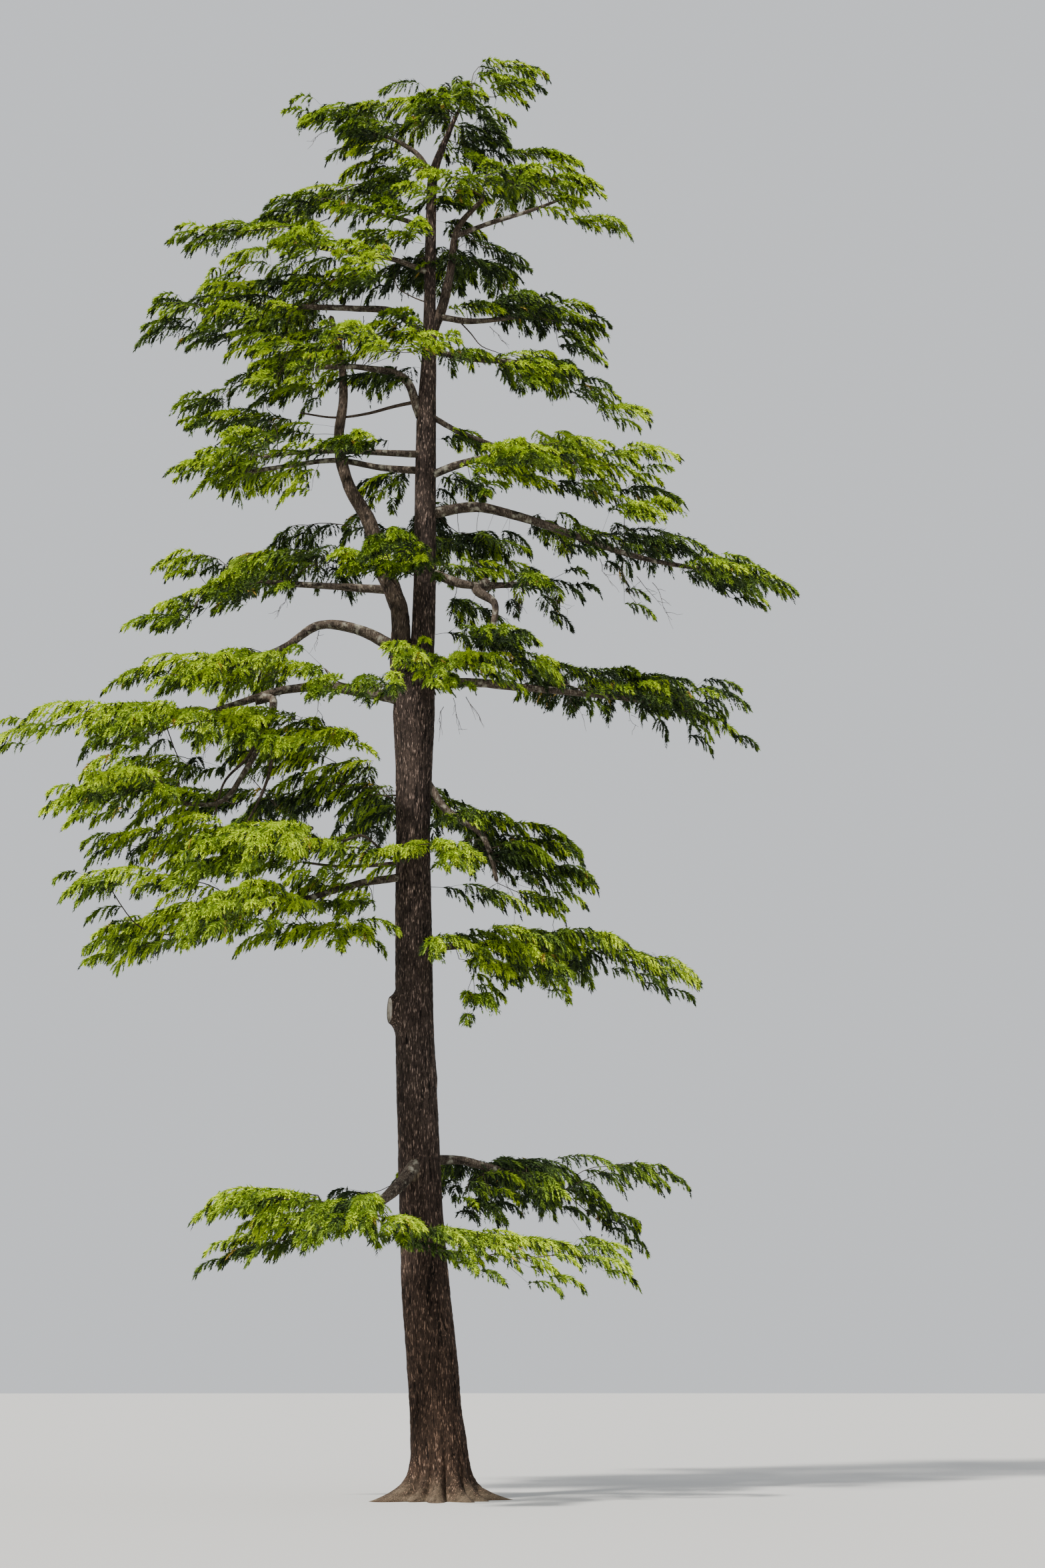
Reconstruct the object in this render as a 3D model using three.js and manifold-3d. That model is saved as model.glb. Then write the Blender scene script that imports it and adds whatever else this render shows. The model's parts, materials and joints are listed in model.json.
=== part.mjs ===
// Mature atlas cedar with a tall bare trunk and flat, layered plates of foliage.
// Millimetres, +Z up. The origin is on the ground, inside the trunk's foot.
import * as THREE from 'three';
import Module from 'manifold-3d';

const wasm = await Module();
wasm.setup();

// Limbs and plates are placed by where a standing viewer sees them.
// X and Z are read in the upright plane through the trunk, and Y is the depth behind that plane.
const EYE_HEIGHT = 1600;
const EYE_DISTANCE = 32950;

// Clearance between two solids that meet, and the air left between two masses of foliage.
const SEAT_GAP = 0.35;
const MASS_AIR = 100;

// Facets that lie closer than this to one plane are made one: in a joined mass, and after a cut.
const MASS_FACET = 80;
const CUT_FACET = 0.1;

// Trunk: height, sideways place of its middle and diameter, from the cut at the ground to the tip.
const TRUNK_SIDES = 16;
const TRUNK_RISE = [
  { z: 0, x: 110, diameter: 870 },
  { z: 80, x: 115, diameter: 860 },
  { z: 190, x: 125, diameter: 850 },
  { z: 340, x: 140, diameter: 840 },
  { z: 600, x: 150, diameter: 830 },
  { z: 1300, x: 80, diameter: 755 },
  { z: 3000, x: -80, diameter: 700 },
  { z: 4000, x: -160, diameter: 640 },
  { z: 7000, x: -300, diameter: 585 },
  { z: 8300, x: -330, diameter: 560 },
  { z: 9900, x: -356, diameter: 520 },
  { z: 11000, x: -360, diameter: 570 },
  { z: 11900, x: -370, diameter: 660 },
  { z: 12350, x: -345, diameter: 590 },
  { z: 12900, x: -240, diameter: 380 },
  { z: 14000, x: -225, diameter: 355 },
  { z: 16000, x: -235, diameter: 340 },
  { z: 17000, x: -235, diameter: 320 },
  { z: 18000, x: -200, diameter: 240 },
  { z: 19000, x: -200, diameter: 200 },
  { z: 20400, x: -200, diameter: 175 },
  { z: 21500, x: -190, diameter: 165 },
  { z: 22000, x: 10, diameter: 110 },
  { z: 22550, x: 190, diameter: 70 },
  { z: 23000, x: 420, diameter: 40 },
];

// Root flare: each root's heading in degrees, from +X towards +Y, and its reach from the trunk at the ground.
const ROOTS = [
  { heading: 2, reach: 720 },
  { heading: 47, reach: 420 },
  { heading: 92, reach: 500 },
  { heading: 138, reach: 380 },
  { heading: 178, reach: 460 },
  { heading: 204, reach: 640 },
  { heading: 270, reach: 340 },
  { heading: 314, reach: 420 },
];
const ROOT_HALF_SPREAD = 30;
const ROOT_FADE_HEIGHT = 165;

const LIMB_SIDES = 6;
const LIMB_STEP = 760;
const LIMB_FEWEST_STEPS = 3;
const COLLAR_GROWTH = 0.4;
const COLLAR_LENGTH = 260;

// Plates of foliage: shape shared by all of them, as parts of the plate's half width or length.
const PLATE_STEP = 760;
const PLATE_FEWEST_STEPS = 3;
const PLATE_MOST_STEPS = 4;
const PLATE_HUB_WIDTH = 0.5;
const PLATE_TIP_WIDTH = 0.28;
const PLATE_HALF_THICKNESS = 130;
const PLATE_THINNEST = 0.55;
const PLATE_SPINE_WAVER = 0.3;
const PLATE_RIDGE_WANDER = 0.25;
const PLATE_RIM_DROOP = 0.24;
const PLATE_KEEL_WIDTH = 0.5;
const PLATE_KEEL_DROOP = 0.4;
const PLATE_ARCH = 0.07;
const PLATE_UNEVENNESS = 0.22;
const PLATE_SIGHT_TILT = 0.5;

// Plates that reach further than this towards or away from the viewer are levelled by this part of the
// slope of the line of sight, so that the crown doesn't slope when it is seen from its side.
const SEEN_DEPTH = 1000;
const LEVELLING = 0.45;

// Numbers that scatter the uneven values.
const SCATTER_START = 2166136261;
const SCATTER_STEPS = [16777619, 2246822519, 3266489917];
const SCATTER_SHIFTS = [15, 13, 16];
const HALF_RANGE = 2147483648;

const BARK_DARK = '#4d443c';
const BARK_GREY = '#6b6459';
const CUT_WOOD = '#b7b0a2';
const NEEDLES_BRIGHT = '#7f9b2c';
const NEEDLES_GREEN = '#55742a';
const NEEDLES_DARK = '#334f28';

// Limbs: points from the foot to the tip, as seen (x, depth y, z), and the diameters at both ends.
const LIMBS = {
  stem_left: {
    ends: [360, 90],
    points: [
      [-440, 0, 12050], [-610, 0, 12900], [-650, 0, 13700], [-950, 40, 14400], [-1110, 60, 15000],
      [-1480, 60, 15700], [-1660, 40, 16500], [-1600, 20, 17300],
      [-1660, 60, 18000], [-1850, 80, 18750],
    ],
  },
  stem_right: {
    ends: [190, 80],
    points: [
      [-180, 0, 18300], [0, 20, 18900], [110, 40, 19450],
      [230, 40, 20200], [300, 0, 20550], [700, -60, 21000],
    ],
  },
  pruned_stub: {
    ends: [400, 385],
    points: [[-303, 0, 7080], [-480, -55, 7110], [-660, -110, 7140]],
  },
  bough_22m_left: {
    ends: [110, 45],
    points: [[-190, 0, 21420], [-400, -30, 21750], [-620, -60, 21950], [-1150, -80, 22200]],
  },
  bough_21m_right: {
    ends: [95, 45],
    points: [
      [240, 20, 20280], [600, 60, 20440], [1000, 100, 20600],
      [1450, 110, 20760], [2050, 60, 21020],
    ],
  },
  bough_21m_left: {
    ends: [85, 45],
    points: [[-200, 0, 20360], [-600, -60, 20530], [-1000, -120, 20640], [-1500, -180, 20780]],
  },
  bough_20m_left: {
    ends: [100, 50],
    points: [[-200, 0, 19560], [-800, -120, 19800], [-1400, -240, 19900], [-2100, -330, 19980]],
  },
  bough_19m_left: {
    ends: [150, 65],
    points: [
      [-200, 0, 18330], [-420, 20, 18560], [-900, 60, 18880], [-1550, 90, 18880], [-2400, 100, 18900],
      [-3000, 60, 18930],
    ],
  },
  bough_19m_right: {
    ends: [120, 50],
    points: [[-150, 0, 18760], [350, 40, 18690], [930, 60, 18730], [1500, 60, 18830]],
  },
  bough_18m_right: {
    ends: [110, 50],
    points: [[-150, 0, 18120], [600, 80, 17990], [1250, 120, 17960], [2100, 160, 17850]],
  },
  bough_18m_left: {
    ends: [160, 70],
    points: [
      [-260, 0, 16850], [-480, -60, 17450], [-720, -110, 17720],
      [-1150, -230, 17800], [-2100, -260, 17790],
    ],
  },
  bough_16m_left_near: {
    ends: [120, 55],
    points: [[-240, -20, 16260], [-1000, -260, 16290], [-1930, -300, 16300], [-2900, -240, 16180]],
  },
  bough_16m_left_far: {
    ends: [120, 60],
    points: [
      [-240, 20, 15980], [-1000, 230, 16030], [-1700, 330, 16140],
      [-2400, 330, 16040], [-3200, 280, 15900],
    ],
  },
  bough_17m_right: {
    ends: [105, 45],
    points: [[-200, 20, 16960], [350, 90, 16660], [760, 120, 16500], [1350, 100, 16300]],
  },
  bough_16m_right: {
    ends: [150, 70],
    points: [[-230, 0, 15860], [200, -110, 16050], [420, -170, 16190], [1250, -320, 16220]],
  },
  bough_15m_right: {
    ends: [180, 60],
    points: [
      [-220, 0, 15240], [220, 60, 15400], [740, 100, 15310], [1650, 130, 15110], [2500, 120, 14760],
      [3450, 60, 14480], [4400, 0, 14330],
    ],
  },
  bough_14m_right: {
    ends: [170, 70],
    points: [
      [-220, 0, 14240], [220, -60, 14110], [600, -80, 13950],
      [1000, 0, 14010], [1700, 120, 14060],
    ],
  },
  bough_13m_right: {
    ends: [130, 70],
    points: [
      [640, -70, 13960], [860, -160, 13780], [930, -220, 13500],
      [820, -260, 13200], [740, -320, 12980],
    ],
  },
  bough_14m_left: {
    ends: [150, 70],
    points: [
      [-650, 0, 13900], [-1000, 60, 13880], [-1500, 90, 13950],
      [-2100, 90, 13970], [-2900, 40, 14020],
    ],
  },
  bough_13m_left: {
    ends: [200, 90],
    points: [
      [-560, 0, 12860], [-1030, -60, 13100], [-1500, -110, 13340],
      [-1850, -150, 13300], [-2350, -180, 12960],
      [-3100, -230, 12620],
    ],
  },
  bough_12m_right: {
    ends: [170, 60],
    points: [
      [-300, 60, 12320], [550, 180, 12360], [1400, 240, 12280],
      [2300, 290, 12200], [3500, 280, 12060],
    ],
  },
  bough_12m_left: {
    ends: [200, 90],
    points: [
      [-420, 40, 12050], [-1300, 120, 12200], [-2100, 80, 12260],
      [-2850, -60, 12060], [-3700, -280, 11760],
    ],
  },
  bough_11m_left: {
    ends: [110, 60],
    points: [
      [-2700, -80, 12060], [-2720, -330, 11500], [-2980, -560, 10900],
      [-3180, -700, 10420], [-4100, -950, 10330],
    ],
  },
  bough_10m_right: {
    ends: [140, 60],
    points: [
      [-300, -20, 10900], [20, -60, 10400], [380, -40, 10090],
      [690, 0, 9900], [830, 40, 9500], [960, 60, 9100],
    ],
  },
  bough_9m_left: {
    ends: [140, 60],
    points: [
      [-340, 0, 9230], [-900, -200, 9130], [-1300, -420, 9040],
      [-2100, -950, 8790], [-2600, -1200, 8700],
    ],
  },
  bough_8m_right: {
    ends: [130, 60],
    points: [[-300, 20, 8060], [400, 240, 8100], [1100, 480, 8120], [1900, 700, 8060]],
  },
  bough_5m_left: {
    ends: [230, 110],
    points: [[-190, -120, 4820], [-420, -520, 4540], [-700, -900, 4280], [-1050, -1350, 4020]],
  },
  bough_5m_right: {
    ends: [160, 90],
    points: [[-180, 0, 4850], [500, 260, 4830], [970, 420, 4700], [1500, 640, 4600]],
  },
};

// Masses of foliage: a hub where the bough enters, and the tips of the plates that fan out from it.
// Each tip is as seen (x, depth y, z), followed by the plate's half width.
const MASSES = {
  foliage_summit: {
    colour: NEEDLES_GREEN,
    hub: [150, 0, 22720],
    tips: [
      [1000, -60, 23480, 430], [1620, -250, 23330, 300],
      [-1000, -60, 22960, 470], [1150, 450, 22250, 430],
      [350, 950, 23050, 450], [-350, -950, 22780, 420],
    ],
  },
  foliage_22m_left: {
    colour: NEEDLES_GREEN,
    hub: [-980, -60, 22130],
    tips: [
      [-2460, -200, 22620, 420], [-1850, 300, 21720, 430],
      [-1500, -900, 22280, 420], [-1450, 1000, 22300, 450],
    ],
  },
  foliage_21m_right: {
    colour: NEEDLES_BRIGHT,
    hub: [800, -60, 21180],
    tips: [
      [2350, -300, 21740, 560], [2850, 350, 21180, 560],
      [3050, 60, 20430, 430], [-900, -1100, 21130, 430],
      [1100, 1950, 21330, 620], [1500, -1700, 21330, 520],
    ],
  },
  foliage_21m_left: {
    colour: NEEDLES_GREEN,
    hub: [-1250, -150, 20820],
    tips: [
      [-3020, -400, 20820, 560], [-2450, 800, 20960, 600],
      [-120, -1250, 20280, 400], [-650, 1000, 21260, 450],
    ],
  },
  foliage_20m_left: {
    colour: NEEDLES_BRIGHT,
    hub: [-1750, -280, 19930],
    tips: [
      [-4320, -600, 20180, 600], [-3600, 450, 19650, 600],
      [-1150, -1700, 19480, 420], [-2600, -1950, 19950, 560],
    ],
  },
  foliage_20m_right: {
    colour: NEEDLES_DARK,
    hub: [-120, 90, 19780],
    tips: [
      [1300, 250, 19900, 450], [1120, 1700, 19600, 520],
      [150, 2650, 19800, 600], [-1000, 1000, 19550, 380],
    ],
  },
  foliage_19m_left: {
    colour: NEEDLES_GREEN,
    hub: [-2450, 60, 18900],
    tips: [
      [-4960, -300, 19020, 600], [-3850, 1000, 19320, 600],
      [-4950, 600, 18430, 520], [-4150, -1100, 18250, 520],
      [-2900, 2400, 18920, 680],
    ],
  },
  foliage_19m_right: {
    colour: NEEDLES_DARK,
    hub: [1150, 60, 18880],
    tips: [
      [2080, -300, 19120, 480], [2780, 250, 18600, 480],
      [2620, -250, 18100, 420], [1650, 1850, 18930, 600],
    ],
  },
  foliage_18m_right: {
    colour: NEEDLES_GREEN,
    hub: [1300, 120, 17960],
    tips: [
      [2580, 350, 18120, 500], [3400, 100, 17000, 430],
      [1350, -500, 17480, 400], [2250, -300, 17600, 400],
      [1900, 2300, 18000, 650],
    ],
  },
  foliage_18m_left: {
    colour: NEEDLES_BRIGHT,
    hub: [-1850, -230, 17830],
    tips: [
      [-3700, -300, 17980, 560], [-3150, -1000, 17380, 520],
      [-4350, 250, 17000, 520], [180, -1250, 18350, 440],
      [-1300, -2750, 18280, 600], [-2700, 1950, 17930, 680],
    ],
  },
  foliage_16m_left: {
    colour: NEEDLES_BRIGHT,
    hub: [-2750, 0, 16100],
    tips: [
      [-4320, -300, 16080, 560], [-4050, 450, 15480, 470],
      [-2400, -350, 15420, 400], [-3300, -1750, 16480, 560],
      [-3200, 2300, 16150, 680], [-1150, -1050, 16540, 340],
    ],
  },
  foliage_16m_right: {
    colour: NEEDLES_BRIGHT,
    hub: [1100, -280, 16240],
    tips: [
      [2750, -800, 16500, 600], [3950, 200, 15680, 540],
      [3700, -500, 15080, 400], [450, -900, 15680, 380],
      [2300, 2050, 16480, 650], [1500, -2550, 15980, 520],
    ],
  },
  foliage_15m_back: {
    colour: NEEDLES_DARK,
    hub: [-240, 90, 15060],
    tips: [
      [-1280, 900, 15560, 460], [-2600, 2150, 14900, 600],
      [620, 2050, 15420, 500], [900, 1000, 14700, 430],
      [-350, 4200, 14980, 750],
    ],
  },
  foliage_15m_right: {
    colour: NEEDLES_DARK,
    hub: [2750, 100, 14720],
    tips: [
      [4250, -600, 14820, 480], [3450, 300, 14080, 430],
      [3350, -200, 13380, 380], [3600, 2050, 14830, 600],
      [1500, 1000, 15080, 450],
    ],
  },
  foliage_14m_right_end: {
    colour: NEEDLES_GREEN,
    hub: [4250, 0, 14360],
    tips: [
      [5740, -100, 14020, 460], [5000, 700, 14480, 470],
      [5400, -500, 13680, 380], [4700, -1100, 14250, 430],
    ],
  },
  foliage_14m_right: {
    colour: NEEDLES_DARK,
    hub: [1350, 60, 14020],
    tips: [
      [2420, -200, 14270, 500], [1980, 800, 13520, 480],
      [1900, 2700, 14020, 680], [1500, -1750, 13990, 480],
    ],
  },
  foliage_13m_right: {
    colour: NEEDLES_DARK,
    hub: [760, -320, 13020],
    tips: [[1580, -100, 13130, 400], [1100, -1750, 13080, 450]],
  },
  foliage_14m_left: {
    colour: NEEDLES_GREEN,
    hub: [-2600, 60, 14120],
    tips: [
      [-4450, -300, 14440, 560], [-4950, -900, 13200, 520],
      [-3300, -2150, 13740, 540], [-3200, 2450, 14330, 700],
      [-1150, 750, 14350, 400],
    ],
  },
  foliage_14m_front: {
    colour: NEEDLES_BRIGHT,
    hub: [-640, -90, 14250],
    tips: [[-1720, -1200, 14420, 430], [-50, -1200, 14380, 330], [-800, -3100, 14380, 520]],
  },
  foliage_12m_front: {
    colour: NEEDLES_BRIGHT,
    hub: [-380, -200, 12500],
    tips: [
      [-2950, -2300, 12480, 620], [1000, -1800, 12480, 540],
      [2050, -700, 12720, 430], [-900, -4600, 12080, 700],
      [-1900, -3650, 12150, 560], [-50, -900, 13150, 330],
    ],
  },
  foliage_12m_left: {
    colour: NEEDLES_BRIGHT,
    hub: [-2950, -230, 12600],
    tips: [
      [-5050, -800, 12440, 600], [-4250, 700, 12350, 620],
      [-3700, -2550, 12330, 560], [-3300, 2700, 12620, 700],
    ],
  },
  foliage_12m_right: {
    colour: NEEDLES_DARK,
    hub: [2850, 300, 12250],
    tips: [
      [5000, 0, 12320, 560], [4850, 900, 11700, 520],
      [3600, -900, 12140, 480], [3800, 2700, 12400, 680],
      [1450, 1900, 12500, 500],
    ],
  },
  foliage_11m_left: {
    colour: NEEDLES_BRIGHT,
    hub: [-3500, -260, 11700],
    tips: [
      [-6950, -900, 11500, 720], [-5200, -2550, 11300, 620],
      [-1150, -900, 11420, 460], [-5000, 1100, 11700, 720],
      [-2500, -2700, 11250, 520], [-3000, 3100, 11600, 760],
    ],
  },
  foliage_10m_far_left: {
    colour: NEEDLES_BRIGHT,
    hub: [-3950, -920, 10380],
    tips: [[-6020, -1750, 10300, 560], [-5300, -3400, 10620, 560], [-5400, 300, 10680, 620]],
  },
  foliage_10m_left: {
    colour: NEEDLES_BRIGHT,
    hub: [-2250, -980, 9560],
    tips: [
      [-4200, -2050, 9880, 580], [-4050, -3400, 9180, 560],
      [820, -1250, 9600, 420], [-2500, -4700, 9350, 700],
      [-3000, 500, 9750, 600], [-430, -120, 9560, 330],
    ],
  },
  foliage_10m_back: {
    colour: NEEDLES_DARK,
    hub: [-360, 150, 10350],
    tips: [
      [-2500, 1750, 10650, 560], [-1100, 4700, 10300, 800],
      [900, 3500, 9900, 640], [-3000, 3900, 10300, 680],
    ],
  },
  foliage_9m_far_left: {
    colour: NEEDLES_BRIGHT,
    hub: [-2350, -1080, 8740],
    tips: [
      [-5750, -2550, 8980, 560], [-5350, -1750, 8080, 520],
      [-700, -1250, 8330, 420], [-3600, -4300, 8350, 620],
      [-3300, 900, 8650, 620],
    ],
  },
  foliage_9m_right: {
    colour: NEEDLES_DARK,
    hub: [800, 30, 9600],
    tips: [
      [2120, -150, 9620, 470], [2330, 400, 9120, 450],
      [2220, -200, 8480, 400], [1100, 2300, 9900, 560],
    ],
  },
  foliage_8m_right: {
    colour: NEEDLES_GREEN,
    hub: [1350, 560, 8080],
    tips: [
      [2950, 500, 8160, 580], [4100, 900, 7700, 520], [350, -300, 7180, 380], [1700, -900, 7780, 480],
      [1900, 3650, 8080, 740],
    ],
  },
  foliage_4m_front: {
    colour: NEEDLES_BRIGHT,
    hub: [-950, -1230, 4020],
    tips: [
      [-3500, -2300, 4150, 600], [-3200, -700, 3500, 520],
      [1100, -2050, 3700, 480], [3000, -1200, 3320, 520],
      [-1300, -4450, 3700, 680],
    ],
  },
  foliage_4m_right: {
    colour: NEEDLES_DARK,
    hub: [1150, 520, 4640],
    tips: [
      [3600, 900, 4720, 640], [3000, 2050, 3900, 560], [550, -600, 4150, 360], [1900, -500, 4400, 440],
      [1500, 4050, 4550, 720], [-1500, 3250, 4450, 640],
    ],
  },
};

// Real place of a point that is seen at x and z in the plane of the trunk, at a depth y behind it.
function placeSeen([x, y, z]) {
  const scale = (EYE_DISTANCE + y) / EYE_DISTANCE;
  return new THREE.Vector3(x * scale, y, EYE_HEIGHT + (z - EYE_HEIGHT) * scale);
}

// Real place of a plate's tip: as seen, or levelled where it lies deep.
function placeTip([x, y, z]) {
  const deeper = Math.sign(y) * Math.max(0, Math.abs(y) - SEEN_DEPTH);
  const slope = (z - EYE_HEIGHT) / EYE_DISTANCE;
  return placeSeen([x, y, z - LEVELLING * slope * deeper]);
}

// Repeatable uneven values between -1 and 1, one stream for each name.
function unevenValues(name) {
  let state = SCATTER_START;
  for (const letter of name) {
    state = Math.imul(state ^ letter.charCodeAt(0), SCATTER_STEPS[0]);
  }
  return () => {
    state = Math.imul(state ^ (state >>> SCATTER_SHIFTS[0]), SCATTER_STEPS[1]);
    state = Math.imul(state ^ (state >>> SCATTER_SHIFTS[1]), SCATTER_STEPS[2]);
    state ^= state >>> SCATTER_SHIFTS[2];
    return (state >>> 0) / HALF_RANGE - 1;
  };
}

// Closed solid through a row of rings with the same number of points, capped at both ends.
function loft(rings) {
  const count = rings[0].length;
  const points = rings.flat();
  const first = points.push(middle(rings[0])) - 1;
  const last = points.push(middle(rings[rings.length - 1])) - 1;
  const triangles = [];
  for (let ring = 0; ring < rings.length - 1; ring += 1) {
    for (let i = 0; i < count; i += 1) {
      const next = (i + 1) % count;
      const low = ring * count;
      const high = low + count;
      triangles.push(low + i, low + next, high + next);
      triangles.push(low + i, high + next, high + i);
    }
  }
  const top = (rings.length - 1) * count;
  for (let i = 0; i < count; i += 1) {
    const next = (i + 1) % count;
    triangles.push(first, next, i);
    triangles.push(last, top + i, top + next);
  }
  const vertices = new Float32Array(points.flatMap((point) => point.toArray()));
  const corners = new Uint32Array(triangles);
  return new wasm.Manifold(new wasm.Mesh({ numProp: 3, vertProperties: vertices, triVerts: corners }));
}

function middle(ring) {
  const sum = ring.reduce((total, point) => total.add(point), new THREE.Vector3());
  return sum.divideScalar(ring.length);
}

// The first and last rings of a grown solid move outwards along it, so that its ends grow as well.
function endShift(step, steps, growth) {
  if (step === 0) {
    return -growth;
  }
  return step === steps ? growth : 0;
}

// How far the roots stand out of the trunk at a heading and a height.
function rootReach(heading, z) {
  const fade = Math.exp(-z / ROOT_FADE_HEIGHT);
  let reach = 0;
  for (const root of ROOTS) {
    const turn = Math.abs(THREE.MathUtils.euclideanModulo(heading - root.heading + 180, 360) - 180);
    if (turn < ROOT_HALF_SPREAD) {
      reach = Math.max(reach, root.reach * Math.cos((turn / ROOT_HALF_SPREAD) * (Math.PI / 2)));
    }
  }
  return reach * fade;
}

function trunkSolid(growth) {
  const rings = TRUNK_RISE.map(({ z, x, diameter }, step) => {
    const height = z + endShift(step, TRUNK_RISE.length - 1, growth);
    const ring = [];
    for (let side = 0; side < TRUNK_SIDES; side += 1) {
      const angle = (side / TRUNK_SIDES) * 2 * Math.PI;
      const radius = diameter / 2 + rootReach(THREE.MathUtils.radToDeg(angle), z) + growth;
      ring.push(new THREE.Vector3(x + radius * Math.cos(angle), radius * Math.sin(angle), height));
    }
    return ring;
  });
  return loft(rings);
}

// One tapering limb of round section along its points, with a swollen collar at its foot.
function limbSolid({ ends, points }, growth) {
  const curve = new THREE.CatmullRomCurve3(points.map(placeSeen), false, 'centripetal');
  const length = curve.getLength();
  const steps = Math.max(LIMB_FEWEST_STEPS, Math.round(length / LIMB_STEP));
  const frames = curve.computeFrenetFrames(steps, false);
  const rings = [];
  for (let step = 0; step <= steps; step += 1) {
    const share = step / steps;
    const centre = curve.getPointAt(share);
    centre.addScaledVector(frames.tangents[step], endShift(step, steps, growth));
    const collar = 1 + COLLAR_GROWTH * Math.exp(-(share * length) / COLLAR_LENGTH);
    const radius = (THREE.MathUtils.lerp(ends[0], ends[1], share) / 2) * collar + growth;
    const ring = [];
    for (let side = 0; side < LIMB_SIDES; side += 1) {
      const angle = (side / LIMB_SIDES) * 2 * Math.PI;
      const point = centre.clone();
      point.addScaledVector(frames.normals[step], radius * Math.cos(angle));
      point.addScaledVector(frames.binormals[step], radius * Math.sin(angle));
      ring.push(point);
    }
    rings.push(ring);
  }
  return loft(rings);
}

// Half width along a plate as a part of the widest, which lies halfway from the hub to the tip.
function plateTaper(share) {
  if (share < 0.5) {
    return THREE.MathUtils.lerp(PLATE_HUB_WIDTH, 1, Math.sin(Math.PI * share));
  }
  return THREE.MathUtils.lerp(PLATE_TIP_WIDTH, 1, Math.sin(Math.PI * share));
}

// One flat plate from the hub to a tip: an arched spine, uneven sides and drooping rims.
function plateSolid(hub, [x, y, z, halfWidth], growth, uneven) {
  const start = placeSeen(hub);
  const tip = placeTip([x, y, z]);
  const across = new THREE.Vector3(start.y - tip.y, tip.x - start.x, 0).normalize();
  across.z = (PLATE_SIGHT_TILT * across.y * (tip.z - EYE_HEIGHT)) / EYE_DISTANCE;
  const length = start.distanceTo(tip);
  const ahead = tip.clone().sub(start).normalize();
  const rings = [];
  const wanted = Math.round(length / PLATE_STEP);
  const stations = THREE.MathUtils.clamp(wanted, PLATE_FEWEST_STEPS, PLATE_MOST_STEPS);
  for (let station = 0; station <= stations; station += 1) {
    const share = station / stations;
    const centre = new THREE.Vector3().lerpVectors(start, tip, share);
    centre.addScaledVector(ahead, endShift(station, stations, growth));
    centre.z += PLATE_ARCH * length * Math.sin(Math.PI * share);
    centre.z += PLATE_HALF_THICKNESS * PLATE_SPINE_WAVER * uneven();
    const taper = plateTaper(share);
    const width = halfWidth * taper;
    const left = width * (1 + PLATE_UNEVENNESS * uneven()) + growth;
    const right = width * (1 + PLATE_UNEVENNESS * uneven()) + growth;
    const thick = PLATE_HALF_THICKNESS * THREE.MathUtils.lerp(PLATE_THINNEST, 1, taper) + growth;
    const droop = PLATE_RIM_DROOP * width;
    const keel = -thick - droop * PLATE_KEEL_DROOP;
    const ridge = left * PLATE_RIDGE_WANDER * uneven();
    const section = [
      [left, -droop],
      [ridge, thick],
      [-right, -droop],
      [-right * PLATE_KEEL_WIDTH, keel],
      [left * PLATE_KEEL_WIDTH, keel],
    ];
    rings.push(section.map(([side, rise]) => {
      const point = centre.clone().addScaledVector(across, side);
      point.z += rise;
      return point;
    }));
  }
  return loft(rings);
}

// The same solid with facets merged that lie within a tolerance, which later cuts don't inherit.
function merged(solid, tolerance) {
  const { vertProperties, triVerts } = solid.asOriginal().simplify(tolerance).getMesh();
  return new wasm.Manifold(new wasm.Mesh({ numProp: 3, vertProperties, triVerts }));
}

// All plates of a mass joined into one solid.
function massSolid(name, { hub, tips }, growth) {
  const uneven = unevenValues(name);
  const plates = tips.map((tip) => plateSolid(hub, tip, growth, uneven));
  return merged(plates.reduce((joined, plate) => joined.add(plate)), MASS_FACET);
}

// What is left of a solid when others are cut away: its largest piece, without needless facets.
function cutBack(solid, others) {
  const pieces = solid.subtract(others).decompose();
  const largest = pieces.reduce((best, piece) => (piece.volume() > best.volume() ? piece : best));
  return merged(largest, CUT_FACET);
}

function meshOf(name, solid, colour) {
  const { vertProperties, triVerts, numProp } = solid.getMesh();
  const positions = [];
  for (let i = 0; i < vertProperties.length; i += numProp) {
    positions.push(vertProperties[i], vertProperties[i + 1], vertProperties[i + 2]);
  }
  const geometry = new THREE.BufferGeometry();
  geometry.setAttribute('position', new THREE.Float32BufferAttribute(positions, 3));
  geometry.setIndex(Array.from(triVerts));
  geometry.computeVertexNormals();
  const material = new THREE.MeshStandardMaterial({ color: colour, roughness: 0.9, metalness: 0 });
  const mesh = new THREE.Mesh(geometry, material);
  mesh.name = name;
  return mesh;
}

const tree = new THREE.Group();
tree.add(meshOf('trunk', trunkSolid(0), BARK_DARK));

// Each limb is cut back to the trunk and earlier limbs, and each mass to all limbs and earlier masses.
let wood = trunkSolid(SEAT_GAP);
for (const [name, limb] of Object.entries(LIMBS)) {
  const seated = cutBack(limbSolid(limb, 0), wood);
  tree.add(meshOf(name, seated, name === 'pruned_stub' ? CUT_WOOD : BARK_GREY));
  wood = wood.add(limbSolid(limb, SEAT_GAP));
}
let taken = wood;
for (const [name, mass] of Object.entries(MASSES)) {
  const seated = cutBack(massSolid(name, mass, 0), taken);
  tree.add(meshOf(name, seated, mass.colour));
  taken = taken.add(massSolid(name, mass, MASS_AIR));
}

export default tree;
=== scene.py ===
"""Mature atlas cedar: furrowed bark, boughs grown by a seeded rule, and sprays of needles in a studio."""
import json
import math

import bpy
import numpy as np
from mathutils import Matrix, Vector
from mathutils.bvhtree import BVHTree


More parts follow.
